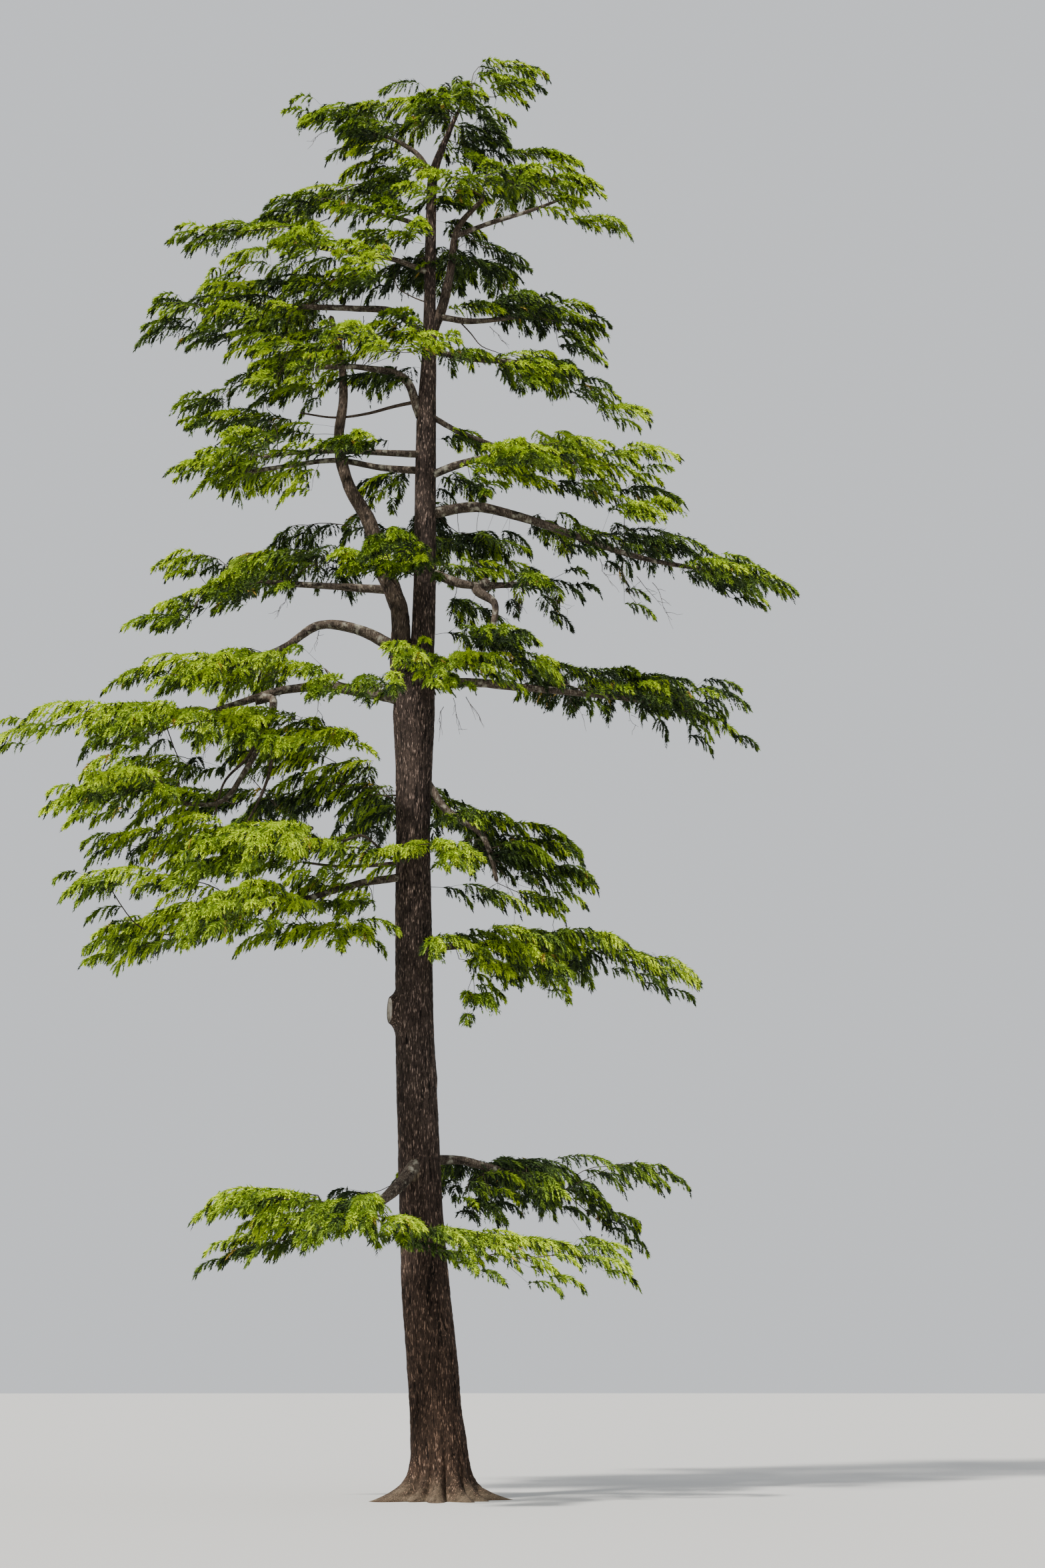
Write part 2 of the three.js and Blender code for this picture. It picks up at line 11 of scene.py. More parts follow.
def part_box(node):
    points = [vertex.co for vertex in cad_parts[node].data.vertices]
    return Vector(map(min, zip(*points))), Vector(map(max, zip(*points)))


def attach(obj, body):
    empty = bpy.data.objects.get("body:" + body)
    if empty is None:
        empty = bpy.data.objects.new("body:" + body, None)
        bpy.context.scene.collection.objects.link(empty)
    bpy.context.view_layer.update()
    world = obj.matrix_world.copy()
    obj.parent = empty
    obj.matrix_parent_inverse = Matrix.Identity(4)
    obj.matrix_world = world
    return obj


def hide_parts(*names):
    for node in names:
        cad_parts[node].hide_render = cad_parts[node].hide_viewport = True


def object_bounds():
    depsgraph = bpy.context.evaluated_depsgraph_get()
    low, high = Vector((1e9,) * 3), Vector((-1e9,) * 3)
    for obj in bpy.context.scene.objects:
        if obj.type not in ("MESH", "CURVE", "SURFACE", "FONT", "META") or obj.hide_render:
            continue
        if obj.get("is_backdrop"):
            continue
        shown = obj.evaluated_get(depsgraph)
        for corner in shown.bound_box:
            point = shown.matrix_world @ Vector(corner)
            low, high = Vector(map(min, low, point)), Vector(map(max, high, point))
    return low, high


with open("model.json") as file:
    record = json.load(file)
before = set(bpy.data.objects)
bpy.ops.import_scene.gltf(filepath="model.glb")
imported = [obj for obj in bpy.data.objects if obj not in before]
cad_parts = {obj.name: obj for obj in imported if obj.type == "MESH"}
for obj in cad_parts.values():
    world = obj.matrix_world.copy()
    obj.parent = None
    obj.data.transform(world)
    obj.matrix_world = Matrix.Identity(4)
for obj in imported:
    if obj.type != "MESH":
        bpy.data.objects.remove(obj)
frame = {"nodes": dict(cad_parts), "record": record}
cad_low, cad_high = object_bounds()

SEED = 31
MASS_SEED = SEED * 1000
SPRAY_SEED = SEED * 2000
SCALES_SEED = SEED + 50
TINY = 1e-6
# Weights that scatter the corners of the noise, the last one for the seed.
SCATTER = (127.1, 311.7, 74.7, 19.19)
SCATTER_SIZE = 43758.5453

# The viewer's eye, in metres and degrees.
EYE_HEIGHT = 1.6
EYE_DISTANCE = 32.954
LOOK_UP = 15.418
LOOK_RIGHT = 2.3455
LENS_MM = 50.0
SENSOR_MM = 36.0
SIGHT_END = 500.0

# Studio.
FLOOR_RADIUS = 400.0
FLOOR_SIDES = 180
FLOOR_COLOUR = (0.52, 0.52, 0.51)
FLOOR_ROUGHNESS = 0.9
FLOOR_SPECULAR = 0.3
SKY_COLOUR = (0.93, 0.96, 1.0, 1)
SKY_STRENGTH = 0.82
SUN_COLOUR = (1.0, 0.955, 0.88)
SUN_STRENGTH = 7.2
SUN_WIDTH = 5.0
SUN_HEADING = (0.58, 0.6, -0.8)

# Reading the frame: the decimals at which places are one, and how near points of a ring or a cut lie.
# Points nearer to the middle than a share of the widest reach are left out of an outline or a radius.
PLACE_DIGITS = 4
LEVEL_TOLERANCE = 0.001
OUTLINE_SHARE = 0.4
CUT_TOLERANCE = 0.0015
RING_EDGE = 0.27
RING_SHARE = 0.5
RING_FEWEST = 5
# Limbs start this deep inside what carries them, and their first rings are this much wider.
FOOT_DEPTH = 0.12
FOOT_SWELL = (1.25, 1.12)
# Fewest points of a smooth line, and the slope above which a line counts as upright.
LINE_FEWEST = 4
NEARLY_UPRIGHT = 0.9

# Trunk: sides, and rows between two heights a step apart.
TRUNK_SIDES = 176
TRUNK_ROWS = ((0.0, 3.0, 0.028), (3.0, 12.5, 0.045), (12.5, 23.0, 0.085))
# How many neighbours are averaged round a ring, up the middle line and up the bark.
RING_TAPS = 9
LINE_TAPS = 15
BARK_TAPS = 5
# Furrows: size, how far they wander, and how much shallower they are on a thin trunk and at the ground.
FURROW_WIDTH = 0.031
FURROW_LENGTH = 0.2
FURROW_DEPTH = 0.028
WANDER_SCALE = (6.0, 6.0, 2.6)
WANDER = 0.07
# They wander this much more up the bole than across it.
WANDER_UP = 1.5
FINE_SCALE = 2.1
RIDGE_WEIGHTS = (0.5, 0.35, 0.35)
RIDGE_FLOOR = 0.12
FULL_GIRTH = 0.3
GIRTH_SHARES = (0.3, 1.2)
FULL_HEIGHT = 0.04
HEIGHT_SHARES = (0.3, 1.0)
LUMP_SCALE = (2.4, 2.4, 1.0)
LUMP_HEIGHT = 0.06
# Flutes that run up from the roots and fade with height.
FLUTE_DEPTH = 0.05
FLUTE_HEIGHT = 0.85
FLUTE_START = 0.1
# The flare fades upwards over this height, and weighs this much against height where rings are blended.
FLARE_FADE = 0.165
FLARE_WEIGHT = 3.0
# Toes and hollows of the roots: heading in degrees from the right, reach, half spread in degrees and height.
TOES = (
    (-92, 0.16, 10, 0.2), (-60, 0.2, 11, 0.28), (-118, 0.12, 8, 0.22), (-142, 0.17, 11, 0.28),
    (-30, 0.16, 10, 0.35), (-76, -0.14, 5, 0.32), (-105, -0.12, 5, 0.28), (-45, -0.14, 7, 0.38),
    (-129, -0.1, 5, 0.3), (-12, -0.1, 7, 0.35), (25, -0.06, 9, 0.35), (70, -0.07, 10, 0.35),
    (115, -0.07, 10, 0.35), (158, -0.06, 9, 0.35), (-165, -0.05, 8, 0.35),
)
# Swellings on the side that the viewer sees: sideways place, height, half width, half height, swelling.
SWELLINGS = (
    (0.17, 2.2, 0.09, 0.11, 0.03), (-0.28, 4.75, 0.16, 0.14, 0.05), (-0.05, 6.1, 0.14, 0.2, 0.02),
    (-0.3, 8.6, 0.15, 0.2, 0.02), (0.0, 3.6, 0.12, 0.16, 0.02),
)
# Pale scars on that side: sideways place, height, half width and half height.
SCARS = ((-0.27, 4.6, 0.09, 0.09),)
# How fast a scar fades from its middle, and the streaks in it: scale, contrast and start.
SCAR_CORE = 2
SCAR_FADE = 1.6
STREAK_SCALE = (45, 45, 7)
STREAK_CONTRAST = 3
STREAK_START = 0.9
# The toes are worn up to this height, the most where the noise of this scale is high.
WORN_HEIGHT = 0.22
WORN_SHARE = 0.85
WORN_SCALE = 9

# The pruned stub stands this much higher than its solid, and is narrower than the cut's own radius.
STUB_LIFT = 0.1
STUB_SIDES = 48
STUB_FACE_DEPTH = 0.02
STUB_NARROWING = 0.9
STUB_ROUGHNESS = 0.06
STUB_SCALE = (3, 20)
# How bright its bark is: the least, and how much the noise adds.
STUB_RIDGE = (0.35, 0.5)
# Rings of the stub: radius as a part of the cut's, how much taller than wide, and distance behind the cut.
STUB_COLLAR = (
    (1.6, 2.6, 0.3), (1.42, 2.7, 0.2), (1.34, 2.6, 0.155), (1.28, 2.05, 0.13), (1.22, 1.65, 0.108),
    (1.16, 1.38, 0.08), (1.1, 1.2, 0.045), (1.05, 1.13, 0.015), (1.0, 1.1, -0.004), (0.9, 1.1, 0.0),
)
STUB_CUT = ((0.85, 1.1, 0.02), (0.6, 1.1, 0.024), (0.3, 1.1, 0.018), (0.02, 1.1, 0.016))

# Boughs: mesh fineness, and the scale and height of their knobs and scales.
BOUGH_SIDES = 14
BOUGH_STEP = 0.05
KNOB_SCALE = (9, 9, 4.0)
KNOB_HEIGHT = 2.2
SCALE_SCALE = (34, 34, 13)
SCALE_HEIGHT = 1.1
BOUGH_RELIEF = 0.09

# Bark colours in its furrows, which are dark as painted shade, and on its ridges, of its flecks and of
# lichen, and how rare the lichen is.
BARKS = {
    "bark_trunk": (
        (0.006, 0.0045, 0.004), (0.039, 0.029, 0.025), (0.33, 0.25, 0.215), (0.15, 0.145, 0.12), 0.82,
    ),
    "bark_bough": (
        (0.025, 0.02, 0.017), (0.09, 0.075, 0.061), (0.22, 0.185, 0.155), (0.27, 0.255, 0.205), 0.545,
    ),
    "bark_stem": ((0.014, 0.011, 0.009), (0.062, 0.048, 0.038), (0.2, 0.16, 0.13), (0.22, 0.2, 0.16), 0.66),
    "bark_twig": ((0.03, 0.024, 0.02), (0.075, 0.058, 0.047), (0.14, 0.11, 0.09), (0.2, 0.2, 0.17), 0.72),
}
WHITE = (1, 1, 1)
# Noise in the bark: scale, detail and how each axis is squeezed.
FLECK_NOISE = (62, 3, (1, 1, 0.15))
CRACK_NOISE = (34, 2, (1, 1, 0.13))
TONE_NOISE = (2.2, 4, (1, 1, 0.4))
GRAIN_NOISE = (55, 6, (1, 1, 0.3))
LICHEN_NOISE = (9, 5, WHITE)
BUMP_NOISE = (70, 5, (1, 1, 0.35))
FLECK_RANGE = (0.57, 0.7)
LICHEN_FADE = 0.16
# Places and colours of ramps. The bark is browner at the foot, up to the height given.
WARM_HEIGHT = 6.0
WARM_RAMP = ((0.2, (0.96, 0.83, 0.69)), (1.0, WHITE))
# Worn bark, darker in its hollows as painted shade and paler on its crests as painted light.
WORN_RAMP = ((0.2, (0.09, 0.06975, 0.04725)), (0.7, (0.2, 0.155, 0.105)))
# The ramp from furrow to ridge colour follows the relief: painted shade darkens the furrows.
FURROW_PLACE = 0.15
RIDGE_PLACE = 0.6
CRACK_RAMP = ((0.42, WHITE), (0.48, (0.3, 0.28, 0.27)), (0.54, WHITE))
TONE_RAMP = ((0.3, (0.62, 0.58, 0.56)), (0.7, (1.25, 1.18, 1.12)))
GRAIN_RAMP = ((0.3, (0.6, 0.6, 0.6)), (0.7, (1.3, 1.3, 1.3)))
BARK_ROUGHNESS = 0.9
BARK_SPECULAR = 0.15
BUMP_STRENGTH = 0.6
BUMP_HEIGHT = 0.012
# Weathered sawn wood.
CUT_NOISE = (14, 6, WHITE)
CUT_RAMP = ((0.3, (0.2, 0.17, 0.135)), (0.55, (0.37, 0.335, 0.29)), (0.75, (0.5, 0.465, 0.41)))
CUT_ROUGHNESS = 0.85
CUT_SPECULAR = 0.2

# Needles: colours from the sunlit tops to the shaded undersides, plain so that each shoot has one of them.
NEEDLE_COLOURS = {
    "lime": (0.54, 0.69, 0.03), "yellow_green": (0.38, 0.52, 0.026), "fresh": (0.23, 0.345, 0.024),
    "mid": (0.115, 0.185, 0.022), "deep": (0.05, 0.084, 0.019), "shade": (0.018, 0.03, 0.012),
    "ochre": (0.4, 0.29, 0.05),
}
NEEDLE_ROUGHNESS = 0.65
NEEDLE_SPECULAR = 0.1
OCHRE_SHARE = 0.006
# Tones that masses and sprays are drawn in: the bright tone is painted sunlight and the dark tone painted
# shade. All but the soft one are slots as well.
BRIGHT = "needles_bright"
SOFT = "needles_soft"
GREEN = "needles_green"
DARK = "needles_dark"
# Share of each colour, from lime to shade, in each tone.
TONE_SHARES = {
    BRIGHT: (0.2, 0.34, 0.26, 0.13, 0.07, 0.0),
    SOFT: (0.09, 0.26, 0.32, 0.2, 0.11, 0.02),
    GREEN: (0.04, 0.18, 0.3, 0.28, 0.16, 0.04),
    DARK: (0.0, 0.03, 0.15, 0.31, 0.36, 0.15),
}
# First and last colour of the fringe in each tone, counted from lime as 0; the fringe takes darker greens as
# painted shade under the pads.
FRINGE_TONES = {BRIGHT: (3, 5), SOFT: (3, 5), GREEN: (4, 5), DARK: (5, 5)}
# What darkens a pad: its patch, painted shade from others above it, chance, and painted shade for standing in
# the lower of two layers.
TONE_WEIGHTS = (0.8, 0.3, 0.15, 0.6)
TONE_PATCH = (1.1, 1.1, 0.4)
# Pads count as above each other in the same cell of this size.
LEVEL_CELL = 0.6
LEVEL_LEAST = 0.05
# Shoots are a step darker before this part of their pad's twig, and a step brighter after one of these.
DARK_FOOT = 0.3
BRIGHT_END = (0.6, 1.0)

# Growth inside the masses: pads of foliage this far apart, at uneven places in the cells of a grid.
PAD_SPACING = 0.41
CELL_SPREAD = (0.05, 0.95)
# Plumb lines start this far above a mass, meet at most so many surfaces, and go on this far past each.
ABOVE = 0.1
MOST_SURFACES = 12
PAST_SURFACE = 0.0005
# A mass has two layers of pads where it is this thick, each at one of these parts of its share.
TWO_LAYERS = 0.36
LAYER_PLACE = (0.65, 0.9)
# Pads stand in domed clumps, except at the tips: size, how dense the noise must be, and the dome's height.
CLUMP_SIZE = (0.8, 0.8, 0.5)
CLUMP_GAP = 0.34
CLUMP_RISE = 0.22
# By height: how far the rim hangs, how much twigs and shoots sag, and how far pads are lifted.
HANG_BY_HEIGHT = ((3.0, 0.24), (8.0, 0.32), (11.0, 0.32), (14.0, 0.16), (23.0, 0.06))
SAG_BY_HEIGHT = ((3.0, 0.55), (8.0, 0.75), (13.0, 0.6), (18.0, 0.45), (23.0, 0.4))
LIFT_BY_HEIGHT = ((3.0, 0.05), (12.5, 0.07), (16.0, 0.08), (20.0, 0.1), (23.0, 0.2))
# Hanging pads at the rim: how near the rim is, how far outside they stand, their drop and the room they have.
RIM_REACH = 0.34
RIM_OUTSIDE = (-0.05, 0.08)
RIM_DROP = (0.4, 1.1)
RIM_ROOM = 0.18
# Pads at the tips: headings they are looked for in, how far inside they stand, and the room they have.
TIP_HEADINGS = 12
TIP_INSET = 0.5
TIP_ROOM = 0.35
ROOM_MOST = 1.0
# Pads end at most this far outside the box round the solids.
BOX_MARGIN = 0.04
# Pads head away from the nearest wood, and from the trunk by this much, in metres of distance from the wood.
OUTWARD_WEIGHT = 0.7
OUTWARD_LEAST = 0.2
# Twigs join pads at the least cost: leaving the wood, bends and the path behind them add to their length.
WOOD_WEIGHT = 1.15
BEND_WEIGHT = 0.9
PATH_WEIGHT = 0.3
# Side twigs count as carrying this much more at the fork than at their first pad.
FORK_SWELL = 1.1
WOOD_STEP = 0.12
WOOD_MARGIN = 0.3
WOOD_SKIN = 0.02

# Masses whose pads stand closer or wider apart, as a share of the usual spacing.
SPACING_SHARES = {
    "foliage_18m_left": 1.1, "foliage_19m_left": 1.06, "foliage_20m_left": 1.06, "foliage_16m_left": 1.08,
    "foliage_19m_right": 1.08, "foliage_4m_front": 0.82, "foliage_4m_right": 0.85, "foliage_8m_right": 0.9,
    "foliage_summit": 0.92, "foliage_9m_far_left": 0.92, "foliage_10m_left": 0.94,
    "foliage_10m_far_left": 0.94,
}
# Masses that look darker than others of their slot, with the tone they are drawn in.
MUTED = {"foliage_14m_front": GREEN, "foliage_4m_front": SOFT}
# Masses whose pads stand lower than their solid, or higher where below zero, by sideways place.
LOWERED = {"foliage_4m_front": ((-0.6, 0.0), (0.6, 0.34), (1.6, 0.32), (3.0, -0.28))}
LEVEL = ((0.0, 0.0),)
# Masses that show many bare twigs, with the share of their pads that has shoots.
SPARSE = {
    "foliage_14m_right": 0.4, "foliage_15m_right": 0.7, "foliage_13m_right": 0.75, "foliage_9m_right": 0.6,
}

# Small sprays between the masses, as the viewer sees them in the upright plane of the trunk:
# sideways place, height, half width and half height, then depth of the middle, half depth and tone, bright
# for painted sunlight and dark for painted shade.
SPRAYS = (
    (1.2, 23.45, 0.45, 0.12, 0.1, 0.35, GREEN), (1.6, 21.85, 0.5, 0.1, 0.0, 0.4, GREEN),
    (-0.35, 9.65, 0.85, 0.12, -0.55, 0.4, BRIGHT), (0.25, 8.2, 0.6, 0.1, -0.5, 0.35, GREEN),
    (0.9, 8.12, 0.5, 0.1, -0.3, 0.4, BRIGHT), (0.7, 7.85, 0.5, 0.12, -0.2, 0.35, GREEN),
    (-4.3, 8.35, 0.85, 0.22, -0.9, 0.5, BRIGHT), (-4.7, 8.1, 0.5, 0.15, -1.0, 0.4, BRIGHT),
    (-3.0, 9.35, 0.95, 0.22, -1.3, 0.5, BRIGHT), (1.2, 8.3, 0.9, 0.1, -0.1, 0.5, GREEN),
    (2.3, 8.28, 0.6, 0.1, 0.0, 0.5, GREEN), (-1.9, 8.3, 1.0, 0.18, -1.1, 0.5, BRIGHT),
    (-1.7, 20.75, 0.5, 0.1, -0.2, 0.4, GREEN), (0.0, 20.85, 0.4, 0.1, -0.1, 0.3, DARK),
    (0.65, 18.95, 0.35, 0.08, 0.0, 0.3, GREEN), (-1.35, 21.5, 0.35, 0.12, 0.1, 0.3, GREEN),
    (2.2, 15.75, 0.5, 0.1, 0.2, 0.4, DARK), (0.7, 10.15, 0.65, 0.12, -0.1, 0.5, DARK),
    (1.45, 10.0, 0.4, 0.1, 0.0, 0.4, GREEN), (1.9, 9.75, 0.35, 0.1, 0.0, 0.35, DARK),
    (1.3, 9.6, 0.45, 0.1, 0.2, 0.4, DARK), (1.95, 9.3, 0.45, 0.1, 0.2, 0.4, DARK),
    (0.7, 8.95, 0.5, 0.1, 0.3, 0.4, DARK), (1.5, 8.87, 0.55, 0.1, 0.2, 0.4, GREEN),
    (1.9, 12.6, 0.6, 0.08, 0.0, 0.4, DARK), (2.8, 12.55, 0.6, 0.08, 0.0, 0.4, DARK),
    (3.5, 12.46, 0.5, 0.08, 0.0, 0.4, DARK), (-0.85, 18.5, 0.35, 0.14, -0.3, 0.4, GREEN),
    (-4.0, 14.35, 0.45, 0.12, 0.0, 0.4, GREEN), (0.55, 22.15, 0.6, 0.2, 0.3, 0.6, DARK),
    (0.5, 21.75, 0.45, 0.2, 0.2, 0.45, DARK), (0.35, 21.05, 0.35, 0.12, 0.1, 0.3, DARK),
    (-1.2, 21.88, 0.38, 0.15, 0.0, 0.4, GREEN), (-1.35, 22.68, 0.35, 0.1, 0.0, 0.4, GREEN),
    (-0.35, 22.4, 0.4, 0.15, 0.0, 0.5, GREEN), (-0.5, 21.55, 0.35, 0.14, -0.3, 0.4, GREEN),
    (-0.85, 21.2, 0.5, 0.12, -0.2, 0.5, DARK), (-2.6, 20.5, 0.45, 0.12, 0.3, 0.5, GREEN),
    (-0.9, 20.2, 0.6, 0.14, -0.3, 0.5, GREEN), (0.3, 20.4, 0.25, 0.08, 0.3, 0.3, DARK),
    (-2.1, 19.3, 1.1, 0.16, 0.2, 0.7, DARK), (-1.35, 19.47, 0.5, 0.15, -0.2, 0.4, GREEN),
    (-3.15, 18.32, 0.5, 0.15, -0.3, 0.5, GREEN), (-0.6, 18.7, 0.35, 0.16, -0.3, 0.4, GREEN),
    (-2.0, 18.35, 0.8, 0.14, 0.3, 0.6, DARK), (0.45, 18.05, 0.45, 0.1, 0.0, 0.4, GREEN),
    (-1.0, 17.65, 0.65, 0.14, 0.2, 0.5, DARK), (-2.4, 17.28, 0.6, 0.22, 0.1, 0.6, GREEN),
    (-3.2, 16.8, 0.95, 0.2, 0.2, 0.7, GREEN), (-2.4, 16.62, 0.35, 0.16, 0.0, 0.4, GREEN),
    (3.2, 16.28, 0.6, 0.24, -0.3, 0.5, BRIGHT), (3.4, 15.35, 0.6, 0.22, -0.2, 0.5, BRIGHT),
    (1.2, 15.98, 0.35, 0.1, -0.2, 0.3, BRIGHT), (-2.5, 14.47, 0.6, 0.1, 0.1, 0.45, GREEN),
    (-1.45, 16.5, 0.5, 0.1, -0.2, 0.4, GREEN), (0.4, 16.55, 0.4, 0.1, 0.2, 0.4, GREEN),
    (-0.85, 15.75, 0.5, 0.17, 0.7, 0.6, DARK), (0.35, 15.7, 0.38, 0.17, 0.5, 0.5, DARK),
    (0.85, 14.75, 0.75, 0.12, 0.6, 0.6, DARK), (0.85, 14.3, 0.8, 0.12, 0.2, 0.6, GREEN),
    (0.5, 13.6, 0.5, 0.12, 0.4, 0.5, DARK), (0.6, 13.15, 0.5, 0.12, 0.3, 0.5, GREEN),
    (-1.9, 11.4, 0.95, 0.24, -0.6, 0.8, BRIGHT), (-2.2, 11.0, 1.2, 0.3, 0.8, 0.8, GREEN),
    (-4.4, 10.9, 0.9, 0.25, 0.3, 0.7, GREEN), (-3.2, 10.35, 0.9, 0.3, 0.6, 0.8, DARK),
    (-3.0, 9.75, 0.9, 0.25, -1.2, 0.8, GREEN), (-1.7, 8.95, 0.8, 0.25, -0.6, 0.6, GREEN),
    (-4.6, 9.7, 0.8, 0.25, -0.6, 0.7, GREEN),
)
SPRAY_SPACING = 0.8 * PAD_SPACING
# A spray is arched: its crest and its fall to the rim in half heights, and its uneven rim and rise.
SPRAY_CREST = 0.8
SPRAY_ARCH = 1.3
SPRAY_RIM = (0.8, 1.1)
SPRAY_RISE = (-0.5, 0.5)
SPRAY_MIDDLE_ROOM = 0.3
SPRAY_ROOM = (0.1, 0.3)
# Twigs of a spray start at most this far from it, on limbs or on twigs that carry more pads than this.
SPRAY_REACH = 1.6
SPRAY_WOOD_LOAD = 8
# Open sky that the viewer sees between the masses: left, right, bottom and top in the plane of the trunk.
OPEN_SKY = (
    (-1.3, -0.3, 14.95, 15.42), (0.0, 1.15, 14.93, 15.42), (-1.95, -0.6, 12.48, 12.98),
    (0.95, 1.9, 18.25, 18.75), (3.7, 4.5, 15.0, 15.7), (-4.3, -2.4, 15.15, 15.6), (-3.1, -1.4, 15.0, 15.4),
    (-2.7, -1.5, 13.5, 13.95), (0.9, 2.3, 13.72, 13.98), (-3.3, -1.9, 21.12, 21.6), (-1.9, -0.4, 4.45, 5.1),
)

# Thin bare limbs, as the viewer sees them: sideways place, depth and height of points, and the radius.
BARE_LIMBS = (
    (
        ((-0.35, 0, 17.22), (-0.75, 0, 17.12), (-1.2, 0.05, 16.98), (-1.7, 0.1, 16.9), (-2.3, 0.15, 16.97)),
        0.035,
    ),
    (((-2.66, -0.2, 11.5), (-2.6, -0.35, 10.95), (-2.72, -0.5, 10.5), (-2.95, -0.6, 10.0)), 0.035),
    (((-2.8, -0.3, 11.5), (-2.95, -0.5, 11.1), (-3.3, -0.6, 10.7), (-3.45, -0.7, 10.15)), 0.03),
    (((-0.4, 0.0, 9.42), (-1.0, 0.25, 9.36), (-1.5, 0.4, 9.34), (-2.05, 0.5, 9.4)), 0.04),
    (((0.3, 0.05, 18.68), (0.5, 0.1, 18.45), (0.65, 0.1, 18.25), (0.95, 0.15, 18.12)), 0.014),
    (((0.2, 0.0, 20.32), (0.42, 0.0, 20.3), (0.6, 0.0, 20.12), (0.85, 0.0, 20.05)), 0.012),
    (((-0.2, 0.0, 19.0), (-0.5, 0.0, 19.12), (-0.75, 0.0, 19.3), (-0.8, 0.0, 19.5)), 0.014),
)
BARE_TAPER = 0.45
# Dead twigs that hang: sideways place, depth and height of the foot, length, and heading in degrees.
DEAD_TWIGS = (
    (0.25, -0.3, 12.1, 0.55, -80), (0.45, -0.5, 12.12, 0.5, -60), (0.1, -0.2, 11.95, 0.35, -100),
    (2.9, 0.1, 14.35, 0.75, -70), (3.2, 0.2, 14.2, 0.7, -55), (2.6, 0.0, 14.5, 0.6, -75),
    (3.45, 0.0, 14.1, 0.65, -62), (1.9, 0.3, 14.9, 0.5, -60), (1.2, 0.0, 13.95, 0.5, -70),
    (1.75, 0.1, 13.95, 0.55, -50), (0.95, -0.1, 13.5, 0.45, -30), (2.1, 0.2, 12.15, 0.45, -60),
    (2.9, 0.2, 12.05, 0.5, -50), (0.75, 0.0, 9.9, 0.6, -75), (1.0, 0.1, 9.3, 0.6, -60),
    (-2.4, 0.1, 13.85, 0.45, -110), (-1.9, -0.1, 13.2, 0.4, -95), (-3.1, -0.2, 16.0, 0.4, -110),
    (-2.2, 0.2, 18.7, 0.45, -120), (-1.3, 0.1, 18.75, 0.4, -100), (0.8, 0.0, 18.6, 0.5, -50),
    (-2.9, -0.6, 11.6, 0.6, -100), (-1.9, -0.6, 12.1, 0.5, -80), (-3.4, -0.4, 11.7, 0.6, -115),
    (-1.6, 0.1, 22.0, 0.4, -130), (-2.0, -0.2, 22.2, 0.35, -150),
)
# Their radius, its share at the tip, and the shares at the two ends of a side twig.
DEAD_RADIUS = 0.006
DEAD_TAPER = 0.4
DEAD_SIDE_GIRTH = (0.7, 0.3)
DEAD_SIDES = 4
BARE_SIDES = 8
DEAD_POINTS = 6
DEAD_SIDE_POINTS = 4
DEAD_DEPTH = (-0.4, 0.4)
DEAD_SIDE_LENGTH = (0.2, 0.45)
# How crooked a dead twig and its side twigs are, and how far those turn from its heading.
DEAD_CROOK = 0.02
DEAD_SIDE_CROOK = 0.008
DEAD_SIDE_TURN = 0.6
DEAD_STEP = 0.08
# Living twigs: radius at a pad, and how it grows with the pads that hang on the twig.
TWIG_RADIUS = 0.0035
TWIG_SWELL = 0.46
TWIG_END = 0.6
TWIG_SIDES = 3
TWIG_STEP = 0.16
# How bright the bark of twigs is, as places on its ramp.
TWIG_RIDGE = (0.2, 0.9)

# Pads: an arched twig with combed shoots on both sides, which droop at their ends.
PAD_LENGTH = (0.55, 1.0)
PAD_SHORTEST = 0.36
PAD_PAST_ROOM = 0.1
PAD_TURN = 22.0
PAD_RISE = (0.03, 0.2)
PAD_FALL = (0.05, 0.3)
PAD_SHARES = (0.0, 0.33, 0.66, 1.0)
PAD_LOADS = (1.0, 0.9, 0.7, 0.4)
# With less room ahead than this, a pad's twig falls and its shoots droop this much further.
RIM_NEAR = 0.6
RIM_FALL = 0.5
RIM_FALL_SHARE = (0.5, 1.0)
RIM_DROOP = 0.3
SHOOT_STEP = 0.042
SHOOTS_FEWEST = 6
SHOOT_PLACE = (0.2, 0.8)
SHOOT_ANGLES = (58.0, 22.0)
SHOOT_TURN = (0.8, 1.15)
# Reach of the shoots as a share of their pad's length, shaped by the place along it and its square.
SHOOT_SHARE = 0.36
SHOOT_OUTLINE = (0.75, 1.3, 1.7)
SHOOT_UNEVENNESS = (0.8, 1.2)
SHOOT_SHORTEST = 0.08
SHOOT_DROOP = (0.5, 1.1)
SHOOT_SLOWING = 0.12
# Shoots that fan out at the tip of a pad.
TIP_SHOOTS = 3
TIP_PLACE = 0.97
TIP_FAN = 22.0
TIP_TURN = (-6, 6)
TIP_SHARE = (0.35, 0.65)
TIP_DROOP = 0.4
# Fringe: shorter shoots, darker as painted shade, that start along the others and hang.
FRINGE_STEP = 0.06
FRINGE_PLACE = (0.0, 0.75)
FRINGE_TURN = (-0.6, 0.6)
FRINGE_SLOPE = (0.8, 2.4)
FRINGE_LENGTH = (0.1, 0.22)
FRINGE_FULL_PAD = 0.6
FRINGE_DROOP = 0.2
# Needles are larger than life, since each stands for a tuft: length, width and number on each shoot.
NEEDLE_SIZE = (0.095, 0.025)
FRINGE_NEEDLE_SIZE = (0.09, 0.026)
FRINGE_NEEDLES = 10
# Needles in all: what the fringe leaves is shared evenly by the other shoots.
NEEDLE_BUDGET = 935000
PIECE_NEEDLES = 196000
